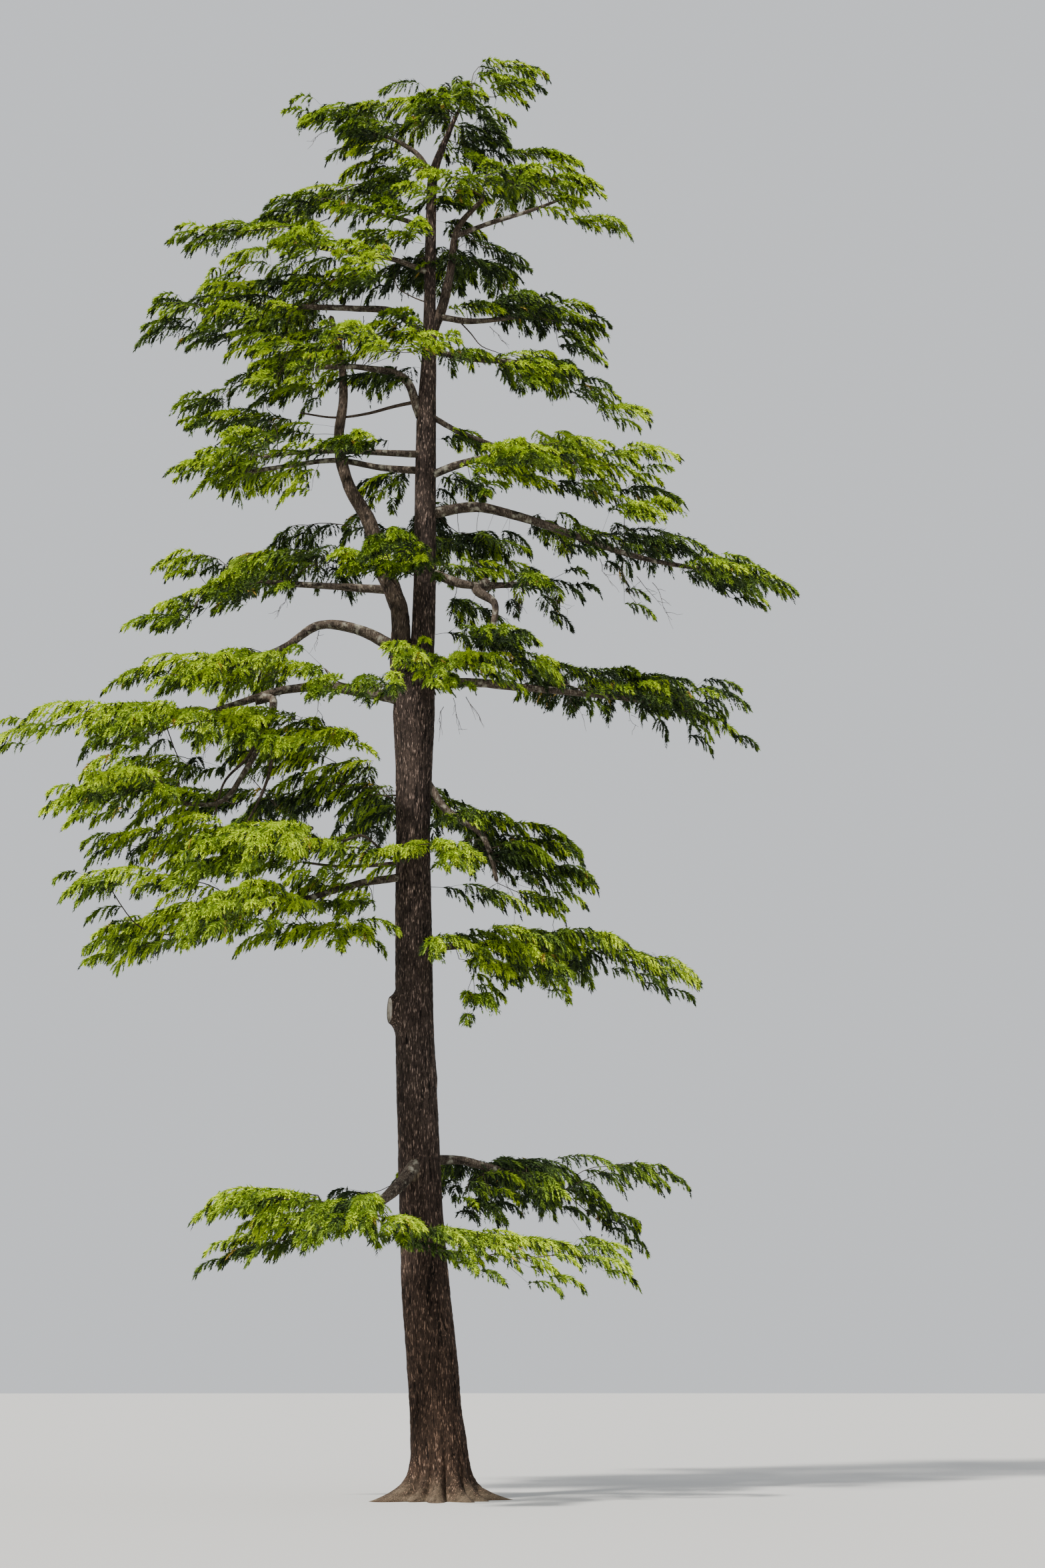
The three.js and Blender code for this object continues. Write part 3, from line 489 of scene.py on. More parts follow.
# Degrees round the shoot and away from it, how much they close up at its end, and uneven lengths.
NEEDLE_TILT = (0.0, 125.0)
NEEDLE_SPREAD = (14.0, 42.0)
NEEDLE_CLOSING = 0.5
NEEDLE_TAPER = 0.35
NEEDLE_UNEVENNESS = (0.75, 1.15)

WOOD_NODES = [name for name in sorted(frame["nodes"]) if not name.startswith("foliage")]
MASS_NODES = [name for name in sorted(frame["nodes"]) if name.startswith("foliage")]
SLOT_OF = {part["node"]: part["material_slot"] for part in frame["record"]["subparts"]}


# Vectors and noise.

def unit(vectors):
    """Vectors along the last axis, made one long."""
    return vectors / np.maximum(np.linalg.norm(vectors, axis=-1, keepdims=True), TINY)


def full_turn(count):
    """Angles evenly round a circle."""
    return np.linspace(0, math.tau, count, endpoint=False)


def by_height(rows, height):
    """A value at a height, between rows of heights and values."""
    return float(np.interp(height, *zip(*rows)))


def lattice(*corner):
    """A scattered value between 0 and 1 for the three places of a corner and a seed."""
    value = np.sin(sum(part * weight for part, weight in zip(corner, SCATTER))) * SCATTER_SIZE
    return value - np.floor(value)


def noise(points, seed):
    """Smooth noise between 0 and 1 at points of any shape with three coordinates last."""
    cell = np.floor(points)
    part = points - cell
    part = part * part * (3 - 2 * part)
    total = 0.0
    for corner in np.ndindex(2, 2, 2):
        weight = np.prod(np.where(corner, part, 1 - part), axis=-1)
        total = total + weight * lattice(*np.moveaxis(cell + corner, -1, 0), seed)
    return total


# Meshes.

def add_piece(name, vertices, faces, materials, face_material=None, smooth=False):
    """A mesh object from arrays; all faces have the same number of corners."""
    mesh = bpy.data.meshes.new(name)
    corners = faces.shape[1]
    mesh.vertices.add(len(vertices))
    mesh.vertices.foreach_set("co", np.ascontiguousarray(vertices, np.float32).ravel())
    mesh.loops.add(faces.size)
    mesh.loops.foreach_set("vertex_index", np.ascontiguousarray(faces, np.int32).ravel())
    mesh.polygons.add(len(faces))
    mesh.polygons.foreach_set("loop_start", np.arange(0, faces.size, corners, dtype=np.int32))
    for material in materials:
        mesh.materials.append(material)
    if face_material is not None:
        mesh.polygons.foreach_set("material_index", np.ascontiguousarray(face_material, np.int32))
    mesh.polygons.foreach_set("use_smooth", np.full(len(faces), smooth))
    mesh.update(calc_edges=True)
    piece = bpy.data.objects.new(name, mesh)
    bpy.context.scene.collection.objects.link(piece)
    return piece


def finish_piece(piece, slot, replaced=()):
    """Makes a piece ride on the tree and stand for CAD nodes, which it hides; the slot is not used."""
    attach(piece, "root")
    if replaced:
        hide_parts(*replaced)


def add_attribute(piece, name, values):
    """A value between 0 and 1 at each vertex, which the bark's colour reads."""
    layer = piece.data.attributes.new(name, "FLOAT", "POINT")
    layer.data.foreach_set("value", np.ascontiguousarray(values, np.float32))


def grid_faces(rows, sides):
    """Quads between closed rings of vertices that lie row after row."""
    across = np.arange(sides)
    low = (np.arange(rows - 1) * sides)[:, None]
    a = low + across
    b = low + (across + 1) % sides
    return np.stack([a, b, b + sides, a + sides], axis=-1).reshape(-1, 4)


def joined(tubes):
    """Vertices and faces of several tubes, each an array of rings, as one mesh."""
    sides = tubes[0].shape[1]
    starts = np.cumsum([0] + [len(rings) * sides for rings in tubes])
    faces = [grid_faces(len(rings), sides) + start for rings, start in zip(tubes, starts)]
    return np.concatenate([rings.reshape(-1, 3) for rings in tubes]), np.concatenate(faces)


def smooth_line(middles, radii, step):
    """Points a step apart on a smooth curve through the middles, with their radii and places along it."""
    spans = np.linalg.norm(np.diff(middles, axis=0), axis=1)
    length = np.concatenate([[0], np.cumsum(spans)])
    tangent = np.gradient(middles, length, axis=0)
    along = np.linspace(0, length[-1], max(LINE_FEWEST, int(length[-1] / step)))
    index = np.clip(np.searchsorted(length, along) - 1, 0, len(spans) - 1)
    span = spans[index][:, None]
    t = ((along - length[index]) / spans[index])[:, None]
    line = (
        (2 * t ** 3 - 3 * t ** 2 + 1) * middles[index]
        + (t ** 3 - 2 * t ** 2 + t) * span * tangent[index]
        + (3 * t ** 2 - 2 * t ** 3) * middles[index + 1]
        + (t ** 3 - t ** 2) * span * tangent[index + 1]
    )
    return line, np.interp(along, length, radii), along


def sweep(line, radii, sides, relief=1.0):
    """Rings of vertices round a line, without twist; relief is a factor for each vertex."""
    tangent = unit(np.gradient(line, axis=0))
    side = np.cross(tangent[0], (0.0, 0.0, 1.0) if abs(tangent[0][2]) < NEARLY_UPRIGHT else (1.0, 0.0, 0.0))
    first = np.empty_like(tangent)
    for row, direction in enumerate(tangent):
        side = unit(side - direction * np.dot(side, direction))
        first[row] = side
    second = np.cross(tangent, first)
    angle = full_turn(sides)
    reach = radii[:, None] * relief
    return (
        line[:, None, :]
        + (reach * np.cos(angle))[..., None] * first[:, None, :]
        + (reach * np.sin(angle))[..., None] * second[:, None, :]
    )


# Reading the frame.

def node_mesh(name):
    """Vertices merged by place, and triangles, of a CAD node."""
    mesh = frame["nodes"][name].data
    mesh.calc_loop_triangles()
    points = np.array([vertex.co for vertex in mesh.vertices])
    triangles = np.array([triangle.vertices for triangle in mesh.loop_triangles])
    places, index = np.unique(np.round(points, PLACE_DIGITS), axis=0, return_inverse=True)
    return places, index.reshape(-1)[triangles]


def node_tree(name):
    points, triangles = node_mesh(name)
    return BVHTree.FromPolygons([Vector(p) for p in points], triangles.tolist())


def trunk_profile():
    """Heights and middles of the trunk's rings, and the angles and radii round each."""
    points, _ = node_mesh("trunk")
    heights = np.unique(np.round(points[:, 2], 3))
    middles, outlines = [], []
    for height in heights:
        ring = points[np.abs(points[:, 2] - height) < LEVEL_TOLERANCE]
        middle = ring.mean(axis=0)
        offset = ring - middle
        reach = np.hypot(offset[:, 0], offset[:, 1])
        outline = reach > OUTLINE_SHARE * reach.max()
        angle = np.arctan2(offset[outline, 1], offset[outline, 0])
        order = np.argsort(angle)
        middles.append(middle)
        outlines.append((angle[order], reach[outline][order]))
    return heights, np.array(middles), outlines


def limb_rings(points, triangles, cut):
    """Middles and radii of the rings of a limb, found by the short edges that join their points."""
    group = np.arange(len(points))
    edges = np.concatenate([triangles[:, [0, 1]], triangles[:, [1, 2]], triangles[:, [2, 0]]])
    short = np.linalg.norm(points[edges[:, 0]] - points[edges[:, 1]], axis=1) < RING_EDGE
    for a, b in edges[short]:
        if not cut[a] and not cut[b] and group[a] != group[b]:
            group[group == group[b]] = group[a]
    rings = []
    for label in np.unique(group[~cut]):
        ring = points[(group == label) & ~cut]
        if len(ring) >= RING_FEWEST:
            middle = ring.mean(axis=0)
            reach = np.linalg.norm(ring - middle, axis=1)
            rings.append((middle, reach[reach > RING_SHARE * reach.max()].mean()))
    return rings


def limb_line(name, other_trees):
    """Middles and radii of a limb's rings, from where it leaves its parent to its tip."""
    points, triangles = node_mesh(name)
    cut = np.array([
        min(tree.find_nearest(Vector(p))[3] for tree in other_trees) < CUT_TOLERANCE for p in points
    ])
    rings = limb_rings(points, triangles, cut)
    foot = points[cut].mean(axis=0)
    middles, radii = [foot], []
    while rings:
        nearest = min(range(len(rings)), key=lambda i: np.linalg.norm(rings[i][0] - middles[-1]))
        middle, radius = rings.pop(nearest)
        middles.append(middle)
        radii.append(radius)
    middles.insert(0, foot - unit(middles[1] - foot) * FOOT_DEPTH)
    return np.array(middles), np.array([radii[0] * swell for swell in FOOT_SWELL] + radii)


# Materials.

def new_material(name, color, roughness, specular):
    material = bpy.data.materials.new(name)
    material.use_nodes = True
    shader = material.node_tree.nodes["Principled BSDF"]
    shader.inputs["Base Color"].default_value = (*color, 1)
    shader.inputs["Roughness"].default_value = roughness
    shader.inputs["Specular IOR Level"].default_value = specular
    return material


class Shading:
    """The nodes of a new material, with short ways to add and link them."""

    def __init__(self, name, color, roughness, specular):
        self.material = new_material(name, color, roughness, specular)
        self.tree = self.material.node_tree
        self.place = self.add("TexCoord", {}).outputs["Object"]

    def add(self, kind, inputs, **settings):
        """A node with its settings, and each input linked to a socket or set to a value."""
        node = self.tree.nodes.new("ShaderNode" + kind)
        for name, value in settings.items():
            setattr(node, name, value)
        for name, value in inputs.items():
            if isinstance(value, bpy.types.NodeSocket):
                self.tree.links.new(value, node.inputs[name])
            else:
                node.inputs[name].default_value = value
        return node

    def attribute(self, name):
        return self.add("Attribute", {}, attribute_name=name).outputs["Fac"]

    def noise(self, scale, detail, stretch):
        place = self.add("Mapping", {"Vector": self.place, "Scale": stretch}).outputs["Vector"]
        return self.add("TexNoise", {"Vector": place, "Scale": scale, "Detail": detail}).outputs["Fac"]

    def within(self, value, low, high):
        """How far a value is on its way from low to high."""
        return self.add("MapRange", {"Value": value, "From Min": low, "From Max": high}).outputs["Result"]

    def ramp(self, source, stops):
        """Colours between stops of place and colour."""
        ramp = self.add("ValToRGB", {"Fac": source})
        elements = ramp.color_ramp.elements
        while len(elements) < len(stops):
            elements.new(0.5)
        for element, (place, color) in zip(elements, stops):
            element.position = place
            element.color = (*color, 1)
        return ramp.outputs["Color"]

    def mix(self, factor, first, second, blend="MIX"):
        inputs = {"Factor": factor, "A": first, "B": second}
        return self.add("Mix", inputs, data_type="RGBA", blend_type=blend).outputs["Result"]

    def times(self, first, second):
        return self.mix(1.0, first, second, "MULTIPLY")

    def finish(self, socket, source):
        """Links the shader's socket to its source."""
        self.tree.links.new(source, self.tree.nodes["Principled BSDF"].inputs[socket])


def bark_material(name, worn=False):
    """Bark that is dark in its furrows as painted shade, with pale flecks on its ridges, patches of lichen
    and worn places.
    """
    furrow, ridge, fleck, lichen, lichen_start = BARKS[name]
    bark = Shading(name, ridge, BARK_ROUGHNESS, BARK_SPECULAR)
    relief = bark.attribute("ridge")
    # Colour by relief: painted shade, darkest in the furrows.
    color = bark.ramp(relief, ((FURROW_PLACE, furrow), (RIDGE_PLACE, ridge)))
    color = bark.mix(bark.within(bark.noise(*FLECK_NOISE), *FLECK_RANGE), color, (*fleck, 1))
    color = bark.times(color, bark.ramp(bark.noise(*CRACK_NOISE), CRACK_RAMP))
    color = bark.times(color, bark.ramp(bark.noise(*TONE_NOISE), TONE_RAMP))
    grain = bark.ramp(bark.noise(*GRAIN_NOISE), GRAIN_RAMP)
    color = bark.times(color, grain)
    if worn:
        height = bark.add("SeparateXYZ", {"Vector": bark.place}).outputs["Z"]
        color = bark.times(color, bark.ramp(bark.within(height, 0.0, WARM_HEIGHT), WARM_RAMP))
    patches = bark.within(bark.noise(*LICHEN_NOISE), lichen_start, lichen_start + LICHEN_FADE)
    color = bark.mix(patches, color, (*lichen, 1))
    if worn:
        # Worn bark follows the relief: painted shade in its hollows, painted light on its crests.
        bare = bark.times(bark.ramp(relief, WORN_RAMP), grain)
        color = bark.mix(bark.attribute("worn"), color, bare)
    bark.finish("Base Color", color)
    bumps = {"Strength": BUMP_STRENGTH, "Distance": BUMP_HEIGHT, "Height": bark.noise(*BUMP_NOISE)}
    bark.finish("Normal", bark.add("Bump", bumps).outputs["Normal"])
    return bark.material


def cut_wood_material():
    """Weathered sawn wood with faint stains."""
    wood = Shading("cut_wood", CUT_RAMP[1][1], CUT_ROUGHNESS, CUT_SPECULAR)
    wood.finish("Base Color", wood.ramp(wood.noise(*CUT_NOISE), CUT_RAMP))
    return wood.material


NEEDLE_MATERIALS = [
    new_material(f"needles_{name}", color, NEEDLE_ROUGHNESS, NEEDLE_SPECULAR)
    for name, color in NEEDLE_COLOURS.items()
]
OCHRE = len(NEEDLE_MATERIALS) - 1
BARK_TRUNK = bark_material("bark_trunk", worn=True)
BARK_BOUGH = bark_material("bark_bough")
BARK_STEM = bark_material("bark_stem")
BARK_TWIG = bark_material("bark_twig")
CUT_WOOD = cut_wood_material()


# Trunk, stub and limbs.

def smoothed(values, taps, periodic=False):
    """Values along the first axis averaged over neighbours; the ends stay as they are unless periodic."""
    weights = np.hanning(taps + 2)[1:-1]
    weights /= weights.sum()
    width = [(taps // 2, taps // 2)] + [(0, 0)] * (values.ndim - 1)
    padded = np.pad(values, width, mode="wrap" if periodic else "edge")
    result = sum(weight * padded[i:i + len(values)] for i, weight in enumerate(weights))
    if not periodic:
        result[0] = values[0]
        result[-1] = values[-1]
    return result


def bark_ridges(places):
    """Bark ridges between 0 and 1 at places on a bole, long up the bole and narrow across it."""
    warp = (noise(places * WANDER_SCALE, SEED) - 0.5) * WANDER
    swirl = places + np.stack([warp, -warp, warp * WANDER_UP], axis=-1)
    scale = np.array((1 / FURROW_WIDTH, 1 / FURROW_WIDTH, 1 / FURROW_LENGTH))
    coarse = noise(swirl * scale, SEED + 1)
    fine = noise(swirl * scale * FINE_SCALE, SEED + 2)
    crest = 1 - np.abs(2 * coarse - 1)
    layers = zip(RIDGE_WEIGHTS, (crest, coarse, fine))
    return np.clip(sum(weight * layer for weight, layer in layers) - RIDGE_FLOOR, 0, 1)


def flare_scale(height):
    """Height stretched near the ground, so that rings blend along the curve of the root flare."""
    return height + FLARE_WEIGHT * (1 - np.exp(-height / FLARE_FADE))


def trunk_grid(heights, middles, outlines):
    """Angles, levels, middle places and smooth radii of the trunk's mesh, and how its foot is fluted."""
    angle = np.linspace(-math.pi, math.pi, TRUNK_SIDES, endpoint=False)
    rings = np.array([np.interp(angle, *outline, period=math.tau) for outline in outlines])
    rings = smoothed(rings.T, RING_TAPS, periodic=True).T
    levels = np.concatenate([np.arange(*row) for row in TRUNK_ROWS] + [heights[-1:]])
    x, y = (smoothed(np.interp(levels, heights, middles[:, i]), LINE_TAPS) for i in (0, 1))
    along, ring_along = flare_scale(levels), flare_scale(heights)
    radius = np.stack([np.interp(along, ring_along, column) for column in rings.T], axis=1)
    radius[1:] = smoothed(radius, BARK_TAPS)[1:]
    flute = rings[0] - rings[0].mean()
    return angle, levels, x[:, None], y[:, None], radius, flute / np.abs(flute).max()


def build_trunk(heights, middles, outlines):
    """The trunk as one mesh with furrowed bark, from the flat cut at the ground to its tip."""
    angle, levels, x, y, radius, flute = trunk_grid(heights, middles, outlines)
    girth = radius.mean(axis=1, keepdims=True)
    angle = np.broadcast_to(angle, radius.shape)
    height = np.broadcast_to(levels[:, None], radius.shape)
    place = np.stack([np.cos(angle) * girth, np.sin(angle) * girth, height], axis=-1)
    ridge = bark_ridges(place)
    lumps = noise(place * LUMP_SCALE, SEED + 3) - 0.5
    fade = np.exp(-height / FLUTE_HEIGHT) * (1 - np.exp(-height / FLUTE_START))
    depth = FURROW_DEPTH * np.clip(girth / FULL_GIRTH, *GIRTH_SHARES)
    depth = depth * np.clip(height / FULL_HEIGHT, *HEIGHT_SHARES)
    radius = radius * (1 + LUMP_HEIGHT * lumps) + FLUTE_DEPTH * fade * (flute - 1) + depth * (ridge - 0.5)
    for heading, reach, spread, tall in TOES:
        turn = (angle - math.radians(heading) + math.pi) % math.tau - math.pi
        radius = radius + reach * np.exp(-(turn / math.radians(spread)) ** 2 - height / tall)
    front_x = x + radius * np.cos(angle)
    in_front = np.sin(angle) < 0

    def distance(across, level, half_width, half_height):
        """Squared distance from a mark in front, as a part of its size."""
        return ((front_x - across) / half_width) ** 2 + ((height - level) / half_height) ** 2

    for *mark, swelling in SWELLINGS:
        radius = radius + swelling * np.exp(-distance(*mark)) * in_front
    worn = WORN_SHARE * np.exp(-(height / WORN_HEIGHT) ** 2) * noise(place * WORN_SCALE, SEED + 4)
    streaks = np.clip(STREAK_CONTRAST * noise(place * STREAK_SCALE, SEED + 6) - STREAK_START, 0, 1)
    for scar in SCARS:
        bare = np.clip(SCAR_CORE - SCAR_FADE * distance(*scar), 0, 1)
        worn = np.maximum(worn, bare * streaks * in_front)
    vertices = np.stack([x + radius * np.cos(angle), y + radius * np.sin(angle), height], axis=-1)
    faces = grid_faces(len(levels), TRUNK_SIDES)
    piece = add_piece("bark_trunk", vertices.reshape(-1, 3), faces, [BARK_TRUNK], smooth=True)
    # The ridges that carve the furrows also colour them: painted shade in the furrows.
    add_attribute(piece, "ridge", ridge.ravel())
    add_attribute(piece, "worn", worn.ravel())
    finish_piece(piece, "bark_dark", ["trunk"])


def tube_places(angle, radius, along):
    """Where noise is read round and along a tube."""
    return np.stack(np.broadcast_arrays(np.cos(angle) * radius, np.sin(angle) * radius, along), axis=-1)


def build_limbs(name, lines, material, replaced):
    """Several limbs joined into one mesh, each a smooth tapering tube with knobbly bark."""
    tubes, ridges = [], []
    angle = full_turn(BOUGH_SIDES)
    for number, (middles, radii) in enumerate(lines):
        line, radius, along = smooth_line(middles, radii, BOUGH_STEP)
        place = tube_places(angle, radius[:, None], along[:, None])
        knobs = noise(place * KNOB_SCALE, SEED + number)
        scales = noise(place * SCALE_SCALE, SCALES_SEED + number)
        relief = 1 + BOUGH_RELIEF * (KNOB_HEIGHT * (knobs - 0.5) + SCALE_HEIGHT * (scales - 0.5))
        rings = sweep(line, radius, BOUGH_SIDES, relief)
        rings[-1] = line[-1]
        tubes.append(rings)
        ridges.append(scales.ravel())
    piece = add_piece(name, *joined(tubes), [material], smooth=True)
    # The scales that shape the relief also colour the bark: painted shade where they are low.
    add_attribute(piece, "ridge", np.concatenate(ridges))
    finish_piece(piece, "bark_grey", replaced)


def build_stub(heights, middles):
    """The pruned stub: a rolled rim of bark round a weathered, slightly hollow cut."""
    points, _ = node_mesh("pruned_stub")
    trunk_middle = [np.interp(points[:, 2].mean(), heights, middles[:, i]) for i in range(3)]
    outward = points.mean(axis=0) - trunk_middle
    outward[2] = 0
    outward = unit(outward)
    reach = points @ outward
    face = points[reach > reach.max() - STUB_FACE_DEPTH]
    middle = face.mean(axis=0)
    size = np.linalg.norm(face - middle, axis=1).max()
    middle[2] += STUB_LIFT
    shares, heights, backs = np.array(STUB_COLLAR + STUB_CUT).T
    line = middle - outward * backs[:, None]
    radii = (shares * size)[:, None]
    side = np.array([-outward[1], outward[0], 0.0])
    up = np.array([0.0, 0.0, 1.0])
    angle = full_turn(STUB_SIDES)
    across, along = STUB_SCALE
    place = tube_places(angle, across, radii * along)
    reach = radii * (1 + STUB_ROUGHNESS * (noise(place, SEED + 9) - 0.5))
    rings = (
        line[:, None, :]
        + (reach * np.cos(angle) * STUB_NARROWING)[..., None] * side
        + (reach * heights[:, None] * np.sin(angle))[..., None] * up
    )
    is_cut = np.repeat(np.arange(len(line) - 1) >= len(STUB_COLLAR) - 1, STUB_SIDES).astype(int)
    piece = add_piece("stub_cut", *joined([rings]), [BARK_TRUNK, CUT_WOOD], is_cut, smooth=True)
    least, added = STUB_RIDGE
    add_attribute(piece, "ridge", least + added * noise(place * 2, SEED + 8).ravel())
    finish_piece(piece, "cut_wood", ["pruned_stub"])


# Pads of foliage.

def sight_scale(y):
    """How much larger things at a depth are than they look in the trunk's plane."""
    return (EYE_DISTANCE + y) / EYE_DISTANCE


def as_seen(x, y, z):
    """The real place of a point seen at x and z in the trunk's plane that is y behind that plane."""
    scale = sight_scale(y)
    return np.array([x * scale, y, EYE_HEIGHT + (z - EYE_HEIGHT) * scale])


def in_open_sky(points):
    """Which points the viewer would see in one of the open gaps."""
    scale = sight_scale(points[:, 1])
    x = points[:, 0] / scale
    z = EYE_HEIGHT + (points[:, 2] - EYE_HEIGHT) / scale
    found = np.zeros(len(points), bool)
    for left, right, bottom, top in OPEN_SKY:
        found |= (x > left) & (x < right) & (z > bottom) & (z < top)
    return found


def spray_pads(x, z, half_width, half_height, y, half_depth, rng):
    """Rows for the pads in a small arched spray: middle, the room ahead, and whether in a lower layer."""
    rows = [(*as_seen(x, y, z + half_height * SPRAY_CREST), SPRAY_MIDDLE_ROOM, 0)]
    for u in np.arange(-half_width, half_width, SPRAY_SPACING):
        for v in np.arange(-half_depth, half_depth, SPRAY_SPACING):
            du, dv = np.array([u, v]) + rng.uniform(0, 1, 2) * SPRAY_SPACING
            rim = math.hypot(du / half_width, dv / half_depth)
            if rim > rng.uniform(*SPRAY_RIM):
                continue
            rise = half_height * (SPRAY_CREST - SPRAY_ARCH * rim ** 2 + rng.uniform(*SPRAY_RISE))
            rows.append((*as_seen(x + du, y + dv, z + rise), rng.uniform(*SPRAY_ROOM), 0))
    return np.array(rows)


def clumped(rows, offset):
    """The pads that fall in clumps or at tips and not in the open sky, each clump domed."""
    body = noise(rows[:, :3] / CLUMP_SIZE + offset, SEED)
    domed = rows.copy()
    domed[:, 2] += CLUMP_RISE * (body - 0.5)
    at_tip = rows[:, 3] <= TIP_ROOM
    return domed[((body > CLUMP_GAP) | at_tip) & ~in_open_sky(domed[:, :3])]


def room_ahead(tree, place, direction):
    """How far a mass goes on from a place inside it, up to the most that counts."""
    distance = tree.ray_cast(place, direction, ROOM_MOST)[3]
    return ROOM_MOST if distance is None else distance


def layers_at(tree, x, y, top):
    """Top and bottom of each part of a mass that a plumb line meets, from the highest down."""
    heights = []
    start = Vector((x, y, top + ABOVE))
    while len(heights) < MOST_SURFACES:
        hit = tree.ray_cast(start, Vector((0, 0, -1)))[0]
        if hit is None:
            break
        heights.append(hit.z)
        start = hit - Vector((0, 0, PAST_SURFACE))
    return zip(heights[0::2], heights[1::2])


def mass_pads(tree, low, high, spacing, rng):
    """Rows for the pads in each layer of a mass, and for those that hang from its rim."""
    rows = []
    across, deep = np.arange(low.x, high.x, spacing), np.arange(low.y, high.y, spacing)
    corners = np.stack(np.meshgrid(across, deep, indexing="ij"), axis=-1)
    for corner in corners.reshape(-1, 2):
        x, y = corner + rng.uniform(*CELL_SPREAD, 2) * spacing
        for top, bottom in layers_at(tree, x, y, high.z):
            middle = Vector((x, y, (top + bottom) / 2))
            room = room_ahead(tree, middle, Vector((x, y, 0)).normalized())
            count = 2 if top - bottom > TWO_LAYERS else 1
            for layer in range(count):
                share = (layer + rng.uniform(*LAYER_PLACE)) / count
                height = bottom + (top - bottom) * share + by_height(LIFT_BY_HEIGHT, bottom)
                rows.append((x, y, height, room, layer + 1 < count))
            heading = rng.uniform(0, math.tau)
            step = Vector((math.cos(heading), math.sin(heading), 0))
            rim = tree.ray_cast(middle, step, RIM_REACH)[0]
            if rim is not None:
                outside = rim + step * rng.uniform(*RIM_OUTSIDE)
                drop = by_height(HANG_BY_HEIGHT, middle.z) * rng.uniform(*RIM_DROP)
                rows.append((outside.x, outside.y, middle.z - drop, RIM_ROOM, 0))
    return np.array(rows)


def tip_pads(name):
    """Rows for pads at the places of a mass that reach furthest in each heading, and at its top."""
    points, _ = node_mesh(name)
    middle = points.mean(axis=0)
    headings = full_turn(TIP_HEADINGS)
    ways = np.stack([np.cos(headings), np.sin(headings), np.zeros(TIP_HEADINGS)], axis=1)
    furthest = {int((points @ way).argmax()) for way in [*ways, np.array([0.0, 0.0, 1.0])]}
    rows = []
    for index in sorted(furthest):
        inward = middle - points[index]
        place = points[index] + inward * min(1, TIP_INSET / np.linalg.norm(inward))
        rows.append((*place, TIP_ROOM, 0))
    return np.array(rows)


# Twigs.

def grow(points, seeds):
    """Joins the points into branches from the nearest wood: parent of each point, -1 at the wood."""
    count = len(points)
    to_seed = np.linalg.norm(points[:, None, :] - seeds[None, :, :], axis=2)
    cost = to_seed.min(axis=1) * WOOD_WEIGHT
    from_seed = to_seed.argmin(axis=1)
    parent = np.full(count, -1)
    path = np.zeros(count)
    done = np.zeros(count, bool)
    order = []
    for _ in range(count):
        k = int(np.where(done, np.inf, cost).argmin())
        start = seeds[from_seed[k]] if parent[k] < 0 else points[parent[k]]
        path[k] = np.linalg.norm(points[k] - start) + (0 if parent[k] < 0 else path[parent[k]])
        done[k] = True
        order.append(k)
        gap = points - points[k]
        span = np.maximum(np.linalg.norm(gap, axis=1), TINY)
        straight = gap @ unit(points[k] - start) / span
        offer = span * (1 + BEND_WEIGHT * (1 - straight)) + PATH_WEIGHT * path[k]
        better = (offer < cost) & ~done
        cost[better] = offer[better]
        parent[better] = k
    return parent, from_seed, order


def straightened(points, parent, order):
    """The points drawn half way to the middle of their neighbours along the branch."""
    total = np.zeros_like(points)
    count = np.zeros(len(points))
    for k in order:
        if parent[k] >= 0:
            total[k] += points[parent[k]]
            total[parent[k]] += points[k]
            count[k] += 1
            count[parent[k]] += 1
    inner = count > 1
    smooth = points.copy()
    smooth[inner] = 0.5 * points[inner] + 0.5 * total[inner] / count[inner, None]
    return smooth


def branches(points, seeds, parent, from_seed, order):
    """Chains of points from the wood or a fork to a tip, with the number of pads that hang on each."""
    load = np.ones(len(points))
    for k in reversed(order):
        if parent[k] >= 0:
            load[parent[k]] += load[k]
    children = {}
    for k in order:
        children.setdefault(int(parent[k]), []).append(k)
    chains = []
    starts = [(k, seeds[from_seed[k]], None) for k in children.get(-1, [])]
    while starts:
        k, foot, foot_load = starts.pop()
        chain, loads = [foot], [load[k] if foot_load is None else min(load[k] * FORK_SWELL, foot_load)]
        while k is not None:
            chain.append(points[k])
            loads.append(load[k])
            after = sorted(children.get(k, []), key=lambda c: -load[c])
            for other in after[1:]:
                starts.append((other, points[k], load[k]))
            k = after[0] if after else None
        chains.append((np.array(chain), np.array(loads)))
    return chains


def twig_line(chain, loads):
    """Middles and radii of the twig along a chain."""
    radii = TWIG_RADIUS * loads ** TWIG_SWELL
    radii[-1] = TWIG_RADIUS * TWIG_END
    return chain, radii


def outward(places, seeds, rng):
    """Level directions away from the trunk and from the nearest wood, along which pads are combed."""
    gap = places[:, None, :2] - seeds[None, :, :2]
    nearest = np.linalg.norm(gap, axis=2).argmin(axis=1)
    from_wood = gap[np.arange(len(places)), nearest]
    distance = np.linalg.norm(places[:, :2], axis=1, keepdims=True)
    heading = from_wood + OUTWARD_WEIGHT * places[:, :2] / np.maximum(distance, OUTWARD_LEAST)
    turn = np.radians(rng.uniform(-PAD_TURN, PAD_TURN, len(places)))
    angle = np.arctan2(heading[:, 1], heading[:, 0]) + turn
    return np.stack([np.cos(angle), np.sin(angle), np.zeros(len(places))], axis=1)


# Shoots and needles.

def turned(direction, turn, rise):
    """A direction made level and turned sideways, that then rises."""
    flat = direction[:2] / max(np.hypot(*direction[:2]), TINY)
    return np.array([
        flat[0] * math.cos(turn) - flat[1] * math.sin(turn),
        flat[0] * math.sin(turn) + flat[1] * math.cos(turn),
        rise,
    ])


